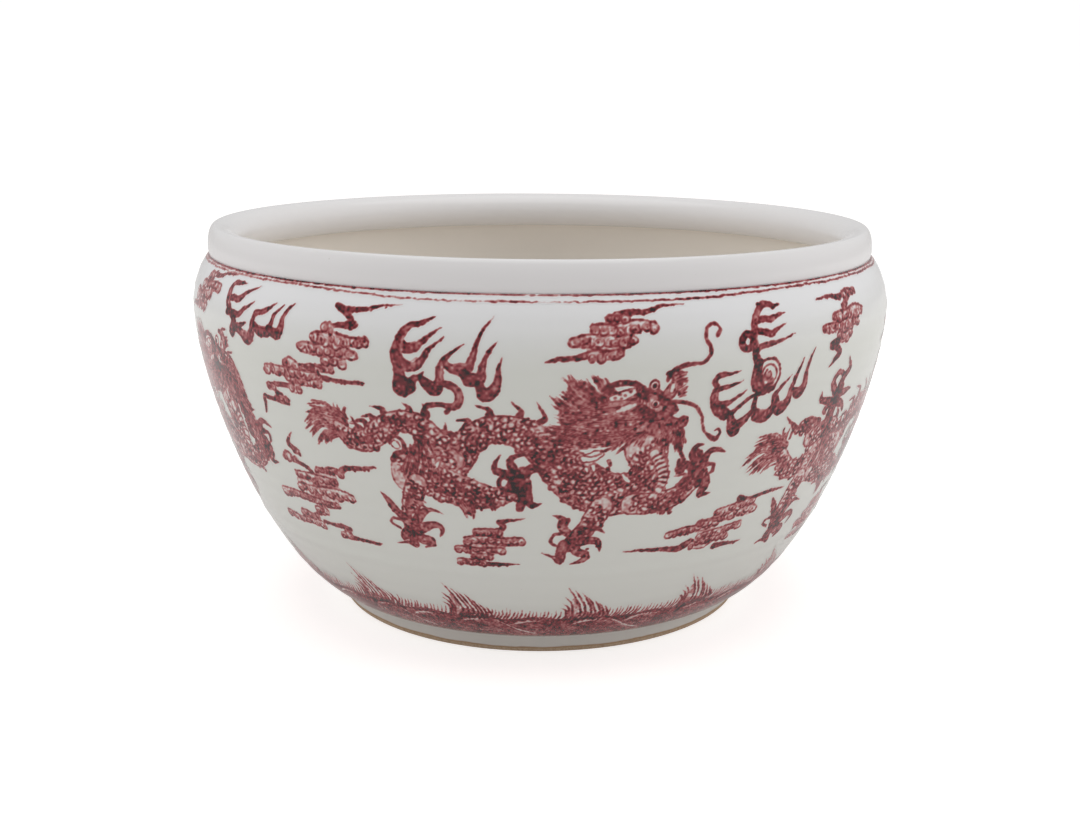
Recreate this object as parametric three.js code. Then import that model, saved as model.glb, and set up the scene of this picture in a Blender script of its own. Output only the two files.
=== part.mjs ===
// A large glazed porcelain basin of the fish-bowl form: a rolled rim, a high rounded
// shoulder, a body that tapers to a low foot, and an open recess under the base.
// A potter throws such a basin in sections and lutes them together with slip before
// glazing: the foot ring, the lower bowl with the floor, the upper wall and the rim roll.
// Each section is its own solid here, and each seats on the one below, face to face.
// Millimetres, +Z up, origin at the centre of the foot ring's standing face.

import * as THREE from "three";

// Driving sizes of the whole form
const BELLY_RADIUS = 200; // widest point of the body
const BELLY_HEIGHT = 176.5;
const SHOULDER_WIDTH = 10.7; // how far the shoulder comes in from the belly to the neck
const SHOULDER_RISE = 28.5; // and how far it rises
const LUTING_RISE = 50; // from the foot ring to the joint between the two thrown halves

// How the outline bends, in shares of the sizes above
const FLARE_RADIUS = 0.813; // the wall leaves the foot heading for this share of the belly's radius
const FLARE_HEIGHT = 0.13; // and this share of its height
const BELLY_UPRIGHT = 0.747; // share of the belly's height from where the wall turns upright
const SHOULDER_UPRIGHT = 0.28; // share of the shoulder's height over which it stays upright
const NECK_LEAN_RADIUS = 0.75; // the shoulder comes in to the neck from this share of its width
const NECK_LEAN_HEIGHT = 0.27; // and from this share of its height below the neck

// Foot ring
const FOOT_HEIGHT = 11.1;
const FOOT_OUTER_RADIUS = 123;
const FOOT_WIDTH = 14;
const FOOT_TAPER = 2.5; // the ring narrows by this much towards the table
const FOOT_EDGE = 1.6; // rounding of the standing edge, wiped clear of glaze

// Lower bowl
const FOOT_STEP = 2.2; // the body starts this far outside the foot ring
const FLOOR_THICKNESS = 12;
const BOTTOM_WALL = 13; // wall where the lower bowl starts to rise
const TOP_WALL = 7; // wall at the neck
const FLOOR_SWEEP_WIDTH = 0.62; // the inside leaves the joint inwards by this share of its drop
const FLOOR_SWEEP_DROP = 0.8; // and down by this share of its drop
const FLOOR_FLAT = 0.66; // share of the joint's radius where the inside has come level

// Rim roll: clay folded over the neck and inwards, its fold pressed against the wall inside
const ROLL_WIDTH = 16;
const ROLL_RISE = 15.1; // height of the crest above the neck
const ROLL_MIDDLE = 4; // height of the widest level above the neck
const ROLL_OVERHANG = 0.8; // how far it stands out past the neck
const ROLL_SETBACK = 4.2; // the crest lies this far in from the outermost edge
const ROLL_TUCK = 7.5; // the fold reaches this far below the neck inside

// How finely round shapes are divided
const TURN_STEPS = 72;
const SHOULDER_STEPS = 7;
const BODY_STEPS = 18;
const FLOOR_STEPS = 8;
const ROLL_STEPS = 6; // to each quarter of the roll
const EDGE_STEPS = 3;

const GLAZE_COLOUR = 0xe9ebea;
const RIM_COLOUR = 0xeceaea;
const BARE_CLAY_COLOUR = 0xd9c9ae;
const GLAZE_ROUGHNESS = 0.12;
const RIM_ROUGHNESS = 0.14;
const BARE_CLAY_ROUGHNESS = 0.6;

// Where the pieces meet
const BOWL_START_RADIUS = FOOT_OUTER_RADIUS + FOOT_STEP;
const LUTING_HEIGHT = FOOT_HEIGHT + LUTING_RISE;
const NECK_RADIUS = BELLY_RADIUS - SHOULDER_WIDTH;
const NECK_HEIGHT = BELLY_HEIGHT + SHOULDER_RISE;

const point = (radius, height) => new THREE.Vector2(radius, height);

// The outside of the body: one curve from the bowl's start up to the belly, and one
// over the shoulder into the neck. Both are upright at the belly.
const bodyCurve = new THREE.CubicBezierCurve(
  point(BOWL_START_RADIUS, FOOT_HEIGHT),
  point(BELLY_RADIUS * FLARE_RADIUS, BELLY_HEIGHT * FLARE_HEIGHT),
  point(BELLY_RADIUS, BELLY_HEIGHT * BELLY_UPRIGHT),
  point(BELLY_RADIUS, BELLY_HEIGHT),
);
const shoulderCurve = new THREE.CubicBezierCurve(
  point(BELLY_RADIUS, BELLY_HEIGHT),
  point(BELLY_RADIUS, BELLY_HEIGHT + SHOULDER_RISE * SHOULDER_UPRIGHT),
  point(NECK_RADIUS + SHOULDER_WIDTH * NECK_LEAN_RADIUS, NECK_HEIGHT - SHOULDER_RISE * NECK_LEAN_HEIGHT),
  point(NECK_RADIUS, NECK_HEIGHT),
);
const outside = [
  ...bodyCurve.getPoints(BODY_STEPS),
  ...shoulderCurve.getPoints(SHOULDER_STEPS).slice(1),
];

// The wall thins evenly with height, measured square to the surface.
function wallAt(height) {
  const share = THREE.MathUtils.clamp((height - FOOT_HEIGHT) / (NECK_HEIGHT - FOOT_HEIGHT), 0, 1);
  return THREE.MathUtils.lerp(BOTTOM_WALL, TOP_WALL, share);
}

// The outside moved inwards by the wall.
const inside = outside.map((p, i) => {
  const before = outside[Math.max(i - 1, 0)];
  const after = outside[Math.min(i + 1, outside.length - 1)];
  const along = after.clone().sub(before).normalize();
  const inwards = point(-along.y, along.x);
  return p.clone().addScaledVector(inwards, wallAt(p.y));
});

// Radius of a rising profile at a height.
function radiusAt(profile, height) {
  const found = profile.findIndex((p, i) => i > 0 && p.y >= height);
  const above = found < 0 ? profile.length - 1 : found;
  const [bottom, top] = [profile[above - 1], profile[above]];
  const share = (height - bottom.y) / (top.y - bottom.y);
  return THREE.MathUtils.lerp(bottom.x, top.x, share);
}

// The stretch of a rising profile between two heights, with its ends exactly on them.
function stretch(profile, low, high) {
  const margin = 0.5; // leaves out a point that almost meets an end
  return [
    point(radiusAt(profile, low), low),
    ...profile.filter((p) => p.y > low + margin && p.y < high - margin),
    point(radiusAt(profile, high), high),
  ];
}

// A solid of revolution about +Z from a closed profile, listed up the outside and
// down the inside.
function turned(name, profile, colour, roughness) {
  const closed = [...profile];
  if (profile[0].x > 0 || profile[profile.length - 1].x > 0) closed.push(profile[0].clone());
  const geometry = new THREE.LatheGeometry(closed, TURN_STEPS);
  geometry.rotateX(Math.PI / 2);
  const material = new THREE.MeshStandardMaterial({ color: colour, roughness, metalness: 0 });
  const mesh = new THREE.Mesh(geometry, material);
  mesh.name = name;
  return mesh;
}

// Quarter of an ellipse about a centre, from one angle to another.
function quarter(centre, width, height, startAngle, endAngle, steps) {
  const points = [];
  for (let step = 0; step <= steps; step++) {
    const angle = THREE.MathUtils.lerp(startAngle, endAngle, step / steps);
    points.push(point(centre.x + width * Math.cos(angle), centre.y + height * Math.sin(angle)));
  }
  return points;
}

// Quarter rounding of a corner of the foot.
function rounding(centre, startAngle, endAngle) {
  return quarter(centre, FOOT_EDGE, FOOT_EDGE, startAngle, endAngle, EDGE_STEPS);
}

// The foot: a low ring, narrower at the table, with both standing edges rounded.
function footRing() {
  const innerTop = FOOT_OUTER_RADIUS - FOOT_WIDTH;
  const outerFoot = FOOT_OUTER_RADIUS - FOOT_TAPER;
  const innerFoot = innerTop + FOOT_TAPER;
  const profile = [
    ...rounding(point(outerFoot - FOOT_EDGE, FOOT_EDGE), -Math.PI / 2, 0),
    point(FOOT_OUTER_RADIUS, FOOT_HEIGHT),
    point(innerTop, FOOT_HEIGHT),
    ...rounding(point(innerFoot + FOOT_EDGE, FOOT_EDGE), Math.PI, Math.PI * 1.5),
  ];
  return turned("foot_ring", profile, BARE_CLAY_COLOUR, BARE_CLAY_ROUGHNESS);
}

// The lower thrown half: the floor and the wall up to the luted joint.
function lowerBowl() {
  const jointRadius = radiusAt(inside, LUTING_HEIGHT);
  const floorHeight = FOOT_HEIGHT + FLOOR_THICKNESS;
  const rise = LUTING_HEIGHT - floorHeight;
  const floorCurve = new THREE.CubicBezierCurve(
    point(jointRadius, LUTING_HEIGHT),
    point(jointRadius - rise * FLOOR_SWEEP_WIDTH, LUTING_HEIGHT - rise * FLOOR_SWEEP_DROP),
    point(jointRadius * FLOOR_FLAT, floorHeight),
    point(0, floorHeight),
  );
  const profile = [
    point(0, FOOT_HEIGHT),
    ...stretch(outside, FOOT_HEIGHT, LUTING_HEIGHT),
    ...floorCurve.getPoints(FLOOR_STEPS),
  ];
  return turned("lower_bowl", profile, GLAZE_COLOUR, GLAZE_ROUGHNESS);
}

// The upper thrown half: the body from the joint, over the belly and in to the neck.
function upperWall() {
  const profile = [
    ...stretch(outside, LUTING_HEIGHT, NECK_HEIGHT),
    ...stretch(inside, LUTING_HEIGHT, NECK_HEIGHT).reverse(),
  ];
  return turned("upper_wall", profile, GLAZE_COLOUR, GLAZE_ROUGHNESS);
}

// The rolled rim. It sits on the flat of the neck, and its fold lies against the wall
// inside, down to a crease. Its section is four quarter ellipses, listed from the groove
// outside, over the crest, to the crease inside.
function rimRoll() {
  const outermost = NECK_RADIUS + ROLL_OVERHANG;
  const innermost = outermost - ROLL_WIDTH;
  const crest = outermost - ROLL_SETBACK;
  const middle = NECK_HEIGHT + ROLL_MIDDLE;
  const creaseHeight = NECK_HEIGHT - ROLL_TUCK;
  const creaseRadius = radiusAt(inside, creaseHeight);
  const rise = ROLL_RISE - ROLL_MIDDLE;
  const drop = ROLL_MIDDLE + ROLL_TUCK;
  const profile = [
    ...quarter(point(NECK_RADIUS, middle), ROLL_OVERHANG, ROLL_MIDDLE, -Math.PI / 2, 0, ROLL_STEPS),
    ...quarter(point(crest, middle), ROLL_SETBACK, rise, 0, Math.PI / 2, ROLL_STEPS).slice(1),
    ...quarter(point(crest, middle), crest - innermost, rise, Math.PI / 2, Math.PI, ROLL_STEPS).slice(1),
    ...quarter(point(creaseRadius, middle), creaseRadius - innermost, drop, Math.PI, Math.PI * 1.5, ROLL_STEPS).slice(1),
    ...stretch(inside, creaseHeight, NECK_HEIGHT).slice(1),
  ];
  return turned("rim_roll", profile, RIM_COLOUR, RIM_ROUGHNESS);
}

const basin = new THREE.Group();
basin.name = "porcelain_basin";
basin.add(footRing(), lowerBowl(), upperWall(), rimRoll());

export default basin;
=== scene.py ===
# %% [markdown]
# A large porcelain basin painted in copper red
#
# This lesson builds the looks of a thrown and glazed basin round its CAD model. The body, the
# rim and the foot are surfaces of revolution, worked out as whole arrays with numpy. The
# dragons, clouds, flames and waves are drawn as brush strokes on the wall laid out flat, and
# then wrapped round it.

from collections import namedtuple

import bpy
import numpy as np
from mathutils import Euler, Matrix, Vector


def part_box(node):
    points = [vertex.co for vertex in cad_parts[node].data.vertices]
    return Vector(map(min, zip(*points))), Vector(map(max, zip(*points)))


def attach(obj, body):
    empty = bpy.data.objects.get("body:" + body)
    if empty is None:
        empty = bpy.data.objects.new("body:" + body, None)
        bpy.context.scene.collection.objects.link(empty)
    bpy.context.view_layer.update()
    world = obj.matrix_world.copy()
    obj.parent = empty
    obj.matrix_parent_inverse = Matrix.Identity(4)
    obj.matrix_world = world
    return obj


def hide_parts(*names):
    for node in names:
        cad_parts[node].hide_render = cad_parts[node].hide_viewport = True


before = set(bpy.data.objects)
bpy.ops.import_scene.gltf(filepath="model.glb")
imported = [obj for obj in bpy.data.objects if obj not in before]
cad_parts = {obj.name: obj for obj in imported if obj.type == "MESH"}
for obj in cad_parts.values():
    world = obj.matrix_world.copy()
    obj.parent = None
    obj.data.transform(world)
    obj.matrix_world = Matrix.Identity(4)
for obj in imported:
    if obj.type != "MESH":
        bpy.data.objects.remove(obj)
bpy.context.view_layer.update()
rim_low, rim_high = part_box("rim_roll")
wall_low, wall_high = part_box("upper_wall")
foot_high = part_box("foot_ring")[1]
print("CAD nodes:", sorted(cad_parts))
print("belly radius", round(wall_high.x * 1000, 1), "mm, height", round(rim_high.z * 1000, 2), "mm")

# %% [markdown]
# The camera
#
# The photograph was taken from close by and a little above the rim, so the foot shows from
# higher up than the rim does. A pinhole camera and the outline of the basin were fitted
# together, until the ellipses of rim, luting joint and foot and the widest point all fell where
# the photograph has them.

# %% Camera
CAMERA_DISTANCE = 0.7957  # metres in front of the basin's axis
CAMERA_HEIGHT = 0.2982
CAMERA_DOWN = 13.62  # degrees below the horizon
LENS = 45.0  # mm, on a sensor 36 mm wide

camera = bpy.data.objects.new("camera", bpy.data.cameras.new("camera"))
camera.data.lens = LENS
camera.data.sensor_width = 36.0
camera.location = (0, -CAMERA_DISTANCE, CAMERA_HEIGHT)
camera.rotation_euler = Euler((np.radians(90 - CAMERA_DOWN), 0, 0))
bpy.context.scene.collection.objects.link(camera)
bpy.context.scene.camera = camera
print("camera at", tuple(round(v, 3) for v in camera.location), "metres")

# %% [markdown]
# The outline of the basin
#
# A potter judges a basin by its outline: the wall leaves a broad low foot almost level, swings
# up to a high belly, and turns in over the shoulder to the neck. Two cubic Bezier curves draw
# it here, as in the CAD model, and the length along them is the ruler that the painting is laid
# out by.

# %% Outline
MM = 0.001
BELLY_RADIUS = wall_high.x / MM
BELLY_HEIGHT = 176.5  # mm, as the sizes below
NECK_RADIUS = 189.3
NECK_HEIGHT = wall_high.z / MM
BOWL_START_RADIUS = 125.2
FOOT_HEIGHT = foot_high.z / MM
LUTING_HEIGHT = wall_low.z / MM
FLARE_RADIUS = 0.813  # the wall leaves the foot heading for this share of the belly's radius
FLARE_HEIGHT = 0.13  # and this share of its height
BELLY_UPRIGHT = 0.747  # share of the belly's height from where the wall turns upright
SHOULDER_UPRIGHT = 0.28  # share of the shoulder's rise over which it stays upright
NECK_LEAN_RADIUS = 0.75  # the shoulder comes in to the neck from this share of its width
NECK_LEAN_HEIGHT = 0.27  # and from this share of its rise below the neck
BODY_POINTS = 400
SHOULDER_POINTS = 100


def run_of(line):
    """How far along a line each of its points lies, as the sum of the steps before it."""
    return np.concatenate([[0], np.cumsum(np.hypot(*np.diff(line[:, :2], axis=0).T))])


def bezier(a, b, c, d, count):
    """Points on a cubic Bezier curve: a(1-t)³ + 3b(1-t)²t + 3c(1-t)t² + dt³."""
    t = np.linspace(0, 1, count)[:, None]
    a, b, c, d = (np.array(p, float) for p in (a, b, c, d))
    return a * (1 - t) ** 3 + 3 * b * (1 - t) ** 2 * t + 3 * c * (1 - t) * t**2 + d * t**3


rise = NECK_HEIGHT - BELLY_HEIGHT
body_curve = bezier(
    (BOWL_START_RADIUS, FOOT_HEIGHT),
    (BELLY_RADIUS * FLARE_RADIUS, BELLY_HEIGHT * FLARE_HEIGHT),
    (BELLY_RADIUS, BELLY_HEIGHT * BELLY_UPRIGHT),
    (BELLY_RADIUS, BELLY_HEIGHT),
    BODY_POINTS,
)
shoulder_curve = bezier(
    (BELLY_RADIUS, BELLY_HEIGHT),
    (BELLY_RADIUS, BELLY_HEIGHT + rise * SHOULDER_UPRIGHT),
    (NECK_RADIUS + (BELLY_RADIUS - NECK_RADIUS) * NECK_LEAN_RADIUS, NECK_HEIGHT - rise * NECK_LEAN_HEIGHT),
    (NECK_RADIUS, NECK_HEIGHT),
    SHOULDER_POINTS,
)
outline = np.vstack([body_curve, shoulder_curve[1:]])
outline_run = run_of(outline)
WALL_LENGTH = outline_run[-1]
outline_step = np.gradient(outline, axis=0)
outline_out = np.stack([outline_step[:, 1], -outline_step[:, 0]], axis=1)
outline_out /= np.hypot(*outline_out.T)[:, None]
print("wall from foot to neck:", round(WALL_LENGTH, 1), "mm along its curve")

# %% [markdown]
# The hand in the clay
#
# No thrown wall is a perfect surface. Fingers leave faint rings, the two thrown halves meet in
# a soft ridge low on the body, and the whole pot warps by a fraction of a millimetre in the
# kiln. All of this is shape, not colour, so one function of the angle and the height gives it,
# and both the wall and the painting on it use that function. The kiln also let the mouth sink
# to one side, so the rim's plane leans by a third of a degree. Every piece leans with it.

# %% Thrown surface
LUTING_RIDGE = 0.35  # mm by which the joint of the two halves stands out
LUTING_WIDTH = 3.5
THROWING_RING = 0.045  # mm high
RING_PACES = (1.31, 1.73)  # mm up the wall to a radian of each set of rings: 8 and 11 mm apart
WARP = 0.25  # mm out of round
FOOT_FADE = 18.0  # mm up from the foot over which all this fades in
NECK_FADE = 14.0  # mm below the neck over which it fades out
LEAN = 0.0055  # slope of the mouth's plane, down towards +X


def clay(angle, run, height):
    """How far the wall stands out from the true outline, in mm: the luting ridge as a bell curve
    of the height, throwing rings as sines along the wall, and a slow warp round it. All of it
    fades out at the neck and the foot, where other pieces fit."""
    ridge = LUTING_RIDGE * np.exp(-(((height - LUTING_HEIGHT) / LUTING_WIDTH) ** 2))
    close, wide = (run / pace for pace in RING_PACES)
    rings = np.sin(close + 0.6 * np.sin(angle)) + np.sin(wide + 1.1 * np.cos(2 * angle))
    warp = 0.5 * np.sin(2 * angle + 0.7) + 0.3 * np.sin(3 * angle + run / 60) - 1
    ends = np.clip(run / FOOT_FADE, 0, 1) * np.clip((WALL_LENGTH - run) / NECK_FADE, 0, 1)
    return (ridge + THROWING_RING * rings + WARP * warp) * ends


def wall_points(angle, run, lift=0.0):
    """Points in metres on the wall at an angle round it and a run in mm up it. Angle 0 faces the
    camera, and lift raises the points off the wall, in mm."""
    radius, height = (np.interp(run, outline_run, outline[:, k]) for k in (0, 1))
    out_radius, out_height = (np.interp(run, outline_run, outline_out[:, k]) for k in (0, 1))
    stand = clay(angle, run, height) + lift
    r = (radius + stand * out_radius) * MM
    z = (height + stand * out_height) * MM
    return np.stack([r * np.sin(angle), -r * np.cos(angle), z], axis=-1)


def leaning(points):
    """The points let down towards +X by the lean times their x, as the cube of their height."""
    down = LEAN * points[..., 0] * (points[..., 2] / (NECK_HEIGHT * MM)) ** 3
    return points - np.stack([0 * down, 0 * down, down], axis=-1)


print("the mouth leans by", round(LEAN * NECK_RADIUS, 2), "mm at each side")

# %% [markdown]
# From arrays to meshes
#
# A surface of revolution is a grid: the profile goes up it and the angle goes round it. The
# grid is closed round the angle, and a profile that ends on the axis is closed by one point
# there, so that no seam or pole stays open. Every face is a quad between four neighbours, and
# at a pole, where two of its points are one, a triangle.

# %% Mesh helpers
TURN = 360  # points round the wall; chords stray 0.008 mm from the circle
AXIS = 1e-6  # metres: a point closer than this to the axis lies on it


def make_piece(name, points, quads, uv, slot, *nodes):
    """A mesh object from points in metres and rows of four point numbers. A number that repeats
    in its row is left out. uv gives each of the four its place on the flat map. The piece rides
    on the body and stands for the CAD nodes named."""
    kept = quads != np.roll(quads, 1, axis=1)
    used, corner = np.unique(quads[kept], return_inverse=True)
    count = kept.sum(axis=1)
    places = leaning(points.reshape(-1, 3)[used])
    mesh = bpy.data.meshes.new(name)
    mesh.vertices.add(len(used))
    mesh.vertices.foreach_set("co", places.astype(np.float32).ravel())
    mesh.loops.add(len(corner))
    mesh.loops.foreach_set("vertex_index", corner.ravel().astype(np.int32))
    mesh.polygons.add(len(quads))
    mesh.polygons.foreach_set("loop_start", (np.cumsum(count) - count).astype(np.int32))
    mesh.polygons.foreach_set("use_smooth", np.ones(len(quads), bool))
    mesh.update(calc_edges=True)
    mesh.uv_layers.new(name="OFBake").data.foreach_set("uv", uv[kept].astype(np.float32).ravel())
    piece = bpy.data.objects.new(name, mesh)
    bpy.context.scene.collection.objects.link(piece)
    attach(piece, "root")
    if nodes:
        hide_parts(*nodes)
    print(name, len(quads), "faces,", np.round(np.ptp(places, axis=0) / MM, 1), "mm")
    return piece


def squares(rows_up, columns_across, closed_up=False, closed_across=False):
    """The four point numbers of each square of a grid, against the clock as seen from outside,
    and their places on a flat map of it from 0 to 1. A closed direction joins its ends."""
    last_row, last_column = rows_up - 1 + closed_up, columns_across - 1 + closed_across
    i, j = np.meshgrid(np.arange(last_row), np.arange(last_column), indexing="ij")
    up = np.stack([i, i, i + 1, i + 1], axis=-1).reshape(-1, 4)
    across = np.stack([j, j + 1, j + 1, j], axis=-1).reshape(-1, 4)
    number = (up % rows_up) * columns_across + across % columns_across
    return number, np.stack([across / last_column, up / last_row], axis=-1)


angle = np.linspace(0, 2 * np.pi, TURN, endpoint=False)


def turned(name, grid, slot, *nodes):
    """A closed surface of revolution from a grid of points, profile by angle. The profile runs
    up the outside and down the inside. Where it starts and ends on the axis, its row of points
    becomes one."""
    rows_up, round_it = grid.shape[:2]
    open_at_axis = np.hypot(grid[0, 0, 0], grid[0, 0, 1]) > AXIS
    number, uv = squares(rows_up, round_it, closed_up=open_at_axis, closed_across=True)
    if not open_at_axis:
        number[number < round_it] = 0
        number[number >= (rows_up - 1) * round_it] = (rows_up - 1) * round_it
    return make_piece(name, grid, number, uv, slot, *nodes)


def revolve(profile):
    """A grid of points in metres from a profile of (radius, height) in mm, turned about Z."""
    r, z = profile[:, :1] * MM, profile[:, 1:] * MM
    return np.stack([r * np.sin(angle), -r * np.cos(angle), z + 0 * angle], axis=-1)


def quarter(radius, height, wide, high, start, end, count=18):
    """Points on part of an ellipse about (radius, height), from one angle in degrees to
    another."""
    a = np.radians(np.linspace(start, end, count))
    return np.stack([radius + wide * np.cos(a), height + high * np.sin(a)], axis=1)


# %% [markdown]
# The body
#
# The glazed body is one skin: up the outside on the thrown surface, over the top of the neck,
# down the inside and across the floor to its middle, and on the underside from the foot's joint
# to the middle of the base. The inside is the outline moved in by the wall, 13 mm low down and
# 7 mm at the neck, and it sweeps into the floor in one curve.

# %% Body
BOTTOM_WALL = 13.0  # mm of clay where the lower bowl starts to rise
TOP_WALL = 7.0  # and at the neck
FLOOR_THICKNESS = 12.0
FLOOR_SWEEP_WIDTH = 0.62  # the inside leaves the joint inwards by this share of its drop
FLOOR_SWEEP_DROP = 0.8  # and down by this share of its drop
FLOOR_FLAT = 0.66  # share of the joint's radius where the inside has come level
FLOOR_POINTS = 50
ROW_GAP = 2.0  # mm between rows of points up the wall
INSIDE_STEP = 6  # every sixth point of the outline is enough inside
UNDERSIDE_RADII = (0, 40, 80, BOWL_START_RADIUS - 1)

run = np.linspace(0, WALL_LENGTH, int(WALL_LENGTH / ROW_GAP) + 1)
outer_grid = wall_points(angle[None, :], run[:, None])

share = (outline[:, 1] - FOOT_HEIGHT) / (NECK_HEIGHT - FOOT_HEIGHT)
inner = outline - outline_out * (BOTTOM_WALL + (TOP_WALL - BOTTOM_WALL) * share)[:, None]
last_step = inner[-1] - inner[-2]
end = inner[-1] + last_step * (NECK_HEIGHT - inner[-1, 1]) / last_step[1]
inner = np.vstack([inner, end])
joint_radius = np.interp(LUTING_HEIGHT, inner[:, 1], inner[:, 0])
floor_height = FOOT_HEIGHT + FLOOR_THICKNESS
drop = LUTING_HEIGHT - floor_height
sweep = bezier(
    (joint_radius, LUTING_HEIGHT),
    (joint_radius - drop * FLOOR_SWEEP_WIDTH, LUTING_HEIGHT - drop * FLOOR_SWEEP_DROP),
    (joint_radius * FLOOR_FLAT, floor_height),
    (0, floor_height),
    FLOOR_POINTS,
)
inside_profile = np.vstack([inner[inner[:, 1] > LUTING_HEIGHT][::-1][::INSIDE_STEP], sweep])
underside = np.array([[r, FOOT_HEIGHT] for r in UNDERSIDE_RADII])
body_grid = np.concatenate([revolve(underside), outer_grid, revolve(inside_profile)])
body = turned("glazed_body", body_grid, "glazed_porcelain", "lower_bowl", "upper_wall")

# %% [markdown]
# The rim
#
# The potter folds the edge of the wall inwards and presses the fold against the inside, which
# leaves a full roll with a slight groove under it outside and a soft crease inside. Its crest
# lies near the outer edge. Four quarter ellipses draw the section, from the groove over the
# crest to the crease.

# %% Rim
ROLL_WIDTH = 16.0  # mm from its outermost to its innermost edge
ROLL_RISE = rim_high.z / MM - NECK_HEIGHT
ROLL_MIDDLE = 4.0  # mm from the neck up to the widest level
ROLL_OVERHANG = 0.8  # mm by which it stands out past the neck
ROLL_SETBACK = 4.2  # mm from the outermost edge in to the crest
ROLL_TUCK = NECK_HEIGHT - rim_low.z / MM  # mm by which the fold reaches below the neck inside
ROLL_SEAT = 0.3  # mm inside the wall's top edge, where the section closes

outermost = NECK_RADIUS + ROLL_OVERHANG
crest = outermost - ROLL_SETBACK
middle = NECK_HEIGHT + ROLL_MIDDLE
top_half = ROLL_RISE - ROLL_MIDDLE
crease = np.interp(NECK_HEIGHT - ROLL_TUCK, inner[:, 1], inner[:, 0])
inward = crest - outermost + ROLL_WIDTH
roll = np.vstack([
    quarter(NECK_RADIUS, middle, ROLL_OVERHANG, ROLL_MIDDLE, -90, 0),
    quarter(crest, middle, ROLL_SETBACK, top_half, 0, 90)[1:],
    quarter(crest, middle, inward, top_half, 90, 180)[1:],
    quarter(crease, middle, crease - crest + inward, ROLL_MIDDLE + ROLL_TUCK, 180, 270)[1:],
    [[end[0] + ROLL_SEAT, NECK_HEIGHT - ROLL_SEAT]],
])
rim = turned("rolled_rim", revolve(roll), "rim_glaze", "rim_roll")

# %% [markdown]
# The foot
#
# The foot is trimmed from the leather-hard clay: a low ring with a slightly sloping side. It is
# dipped with the rest, and then its standing edge is wiped clean, so that the basin doesn't
# stick to the kiln shelf. The glaze ends in a soft uneven line just above the bare edge.

# %% Foot
FOOT_OUTER_RADIUS = foot_high.x / MM
FOOT_WIDTH = 14.0
FOOT_TAPER = 2.5  # mm by which each side slopes in towards the table
FOOT_EDGE = 1.6  # mm of rounding on the standing edge
SIDE_POINTS = 10
INNER_SIDE_POINTS = 6
EDGE_POINTS = 8

outer_foot = FOOT_OUTER_RADIUS - FOOT_TAPER
inner_foot = FOOT_OUTER_RADIUS - FOOT_WIDTH + FOOT_TAPER
side = np.linspace([outer_foot, FOOT_EDGE], [FOOT_OUTER_RADIUS, FOOT_HEIGHT], SIDE_POINTS)[1:]
inner_top = FOOT_OUTER_RADIUS - FOOT_WIDTH
inner_side = np.linspace([inner_top, FOOT_HEIGHT], [inner_foot, FOOT_EDGE], INNER_SIDE_POINTS)[:-1]
foot_profile = np.vstack([
    quarter(outer_foot - FOOT_EDGE, FOOT_EDGE, FOOT_EDGE, FOOT_EDGE, -90, 0, EDGE_POINTS),
    side,
    inner_side,
    quarter(inner_foot + FOOT_EDGE, FOOT_EDGE, FOOT_EDGE, FOOT_EDGE, 180, 270, EDGE_POINTS),
])
foot = turned("foot", revolve(foot_profile), "bare_clay", "foot_ring")

# %% [markdown]
# The painting as a sheet of ink
#
# On the real basin the decoration is copper red: a brush carries copper pigment onto the raw
# body, a clear glaze goes over it, and the kiln's fire turns it red. Where the brush rests the
# colour pools almost black, and where it is wiped thin it fires to a pink wash.
#
# It could be modelled as flat ribbons, one to a stroke, but ribbons have hard edges and can't
# pool. So the wall is laid out flat as a sheet, x along the wall and y up it from a little above
# the foot, and each point of a fine grid holds how thick the pigment lies there: 0 is bare
# glaze, about 0.4 a wash, 1 a full stroke and 1.5 a pool. The sheet is drawn a little larger
# than life: one of its units, which the comments call a mm, is UNIT mm on the wall.

# %% The sheet
UNIT = 0.932  # mm on the wall to a unit of the sheet
DRAWN_RADIUS = 193.0  # mm from the axis, where UNIT also holds along the wall
DRAWN_FROM = 6.0  # mm up the wall from the foot to the sheet's lower edge
CELL = 0.48  # units between grid points; a fine brush line is two or three of them wide
ROUND = 2 * np.pi * DRAWN_RADIUS / UNIT  # units once round the wall
SHEET_HEIGHT = (WALL_LENGTH - DRAWN_FROM) / UNIT
MARGIN = 40.0  # mm painted past each end of the sheet, so that strokes meet over the seam
SOFT = 0.7  # mm over which a stroke's edge bleeds into the glaze
POOL_DEPTH = 0.45  # mm inside a stroke's edge, where its pigment pools
POOL_WIDTH = 0.4
STRAY = 0.15  # share of the hand's stray by which each point of a stroke strays too
BATCH = 10  # samples of a stroke measured at a time
FAR_OUT = -9.0  # mm, the depth of a point outside every stroke

# Where a motif is painted: its shift in mm, its random numbers, and how far its strokes stray
Place = namedtuple("Place", "x y chance hand")

columns = int(round(ROUND / CELL))
cell_x = ROUND / columns
cell_y = CELL
rows = int(np.ceil(SHEET_HEIGHT / cell_y)) + 1
margin_columns = int(round(MARGIN / cell_x))
sheet_left = -ROUND / 2 - margin_columns * cell_x
ink = np.zeros((rows, columns + 2 * margin_columns + 1))
print("sheet of ink:", ink.shape, "points,", round(ROUND), "mm round")


# %% Strokes
def smooth_step(t):
    """0 below 0, 1 above 1, and 3t² - 2t³ between them."""
    t = np.clip(t, 0, 1)
    return t * t * (3 - 2 * t)


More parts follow.
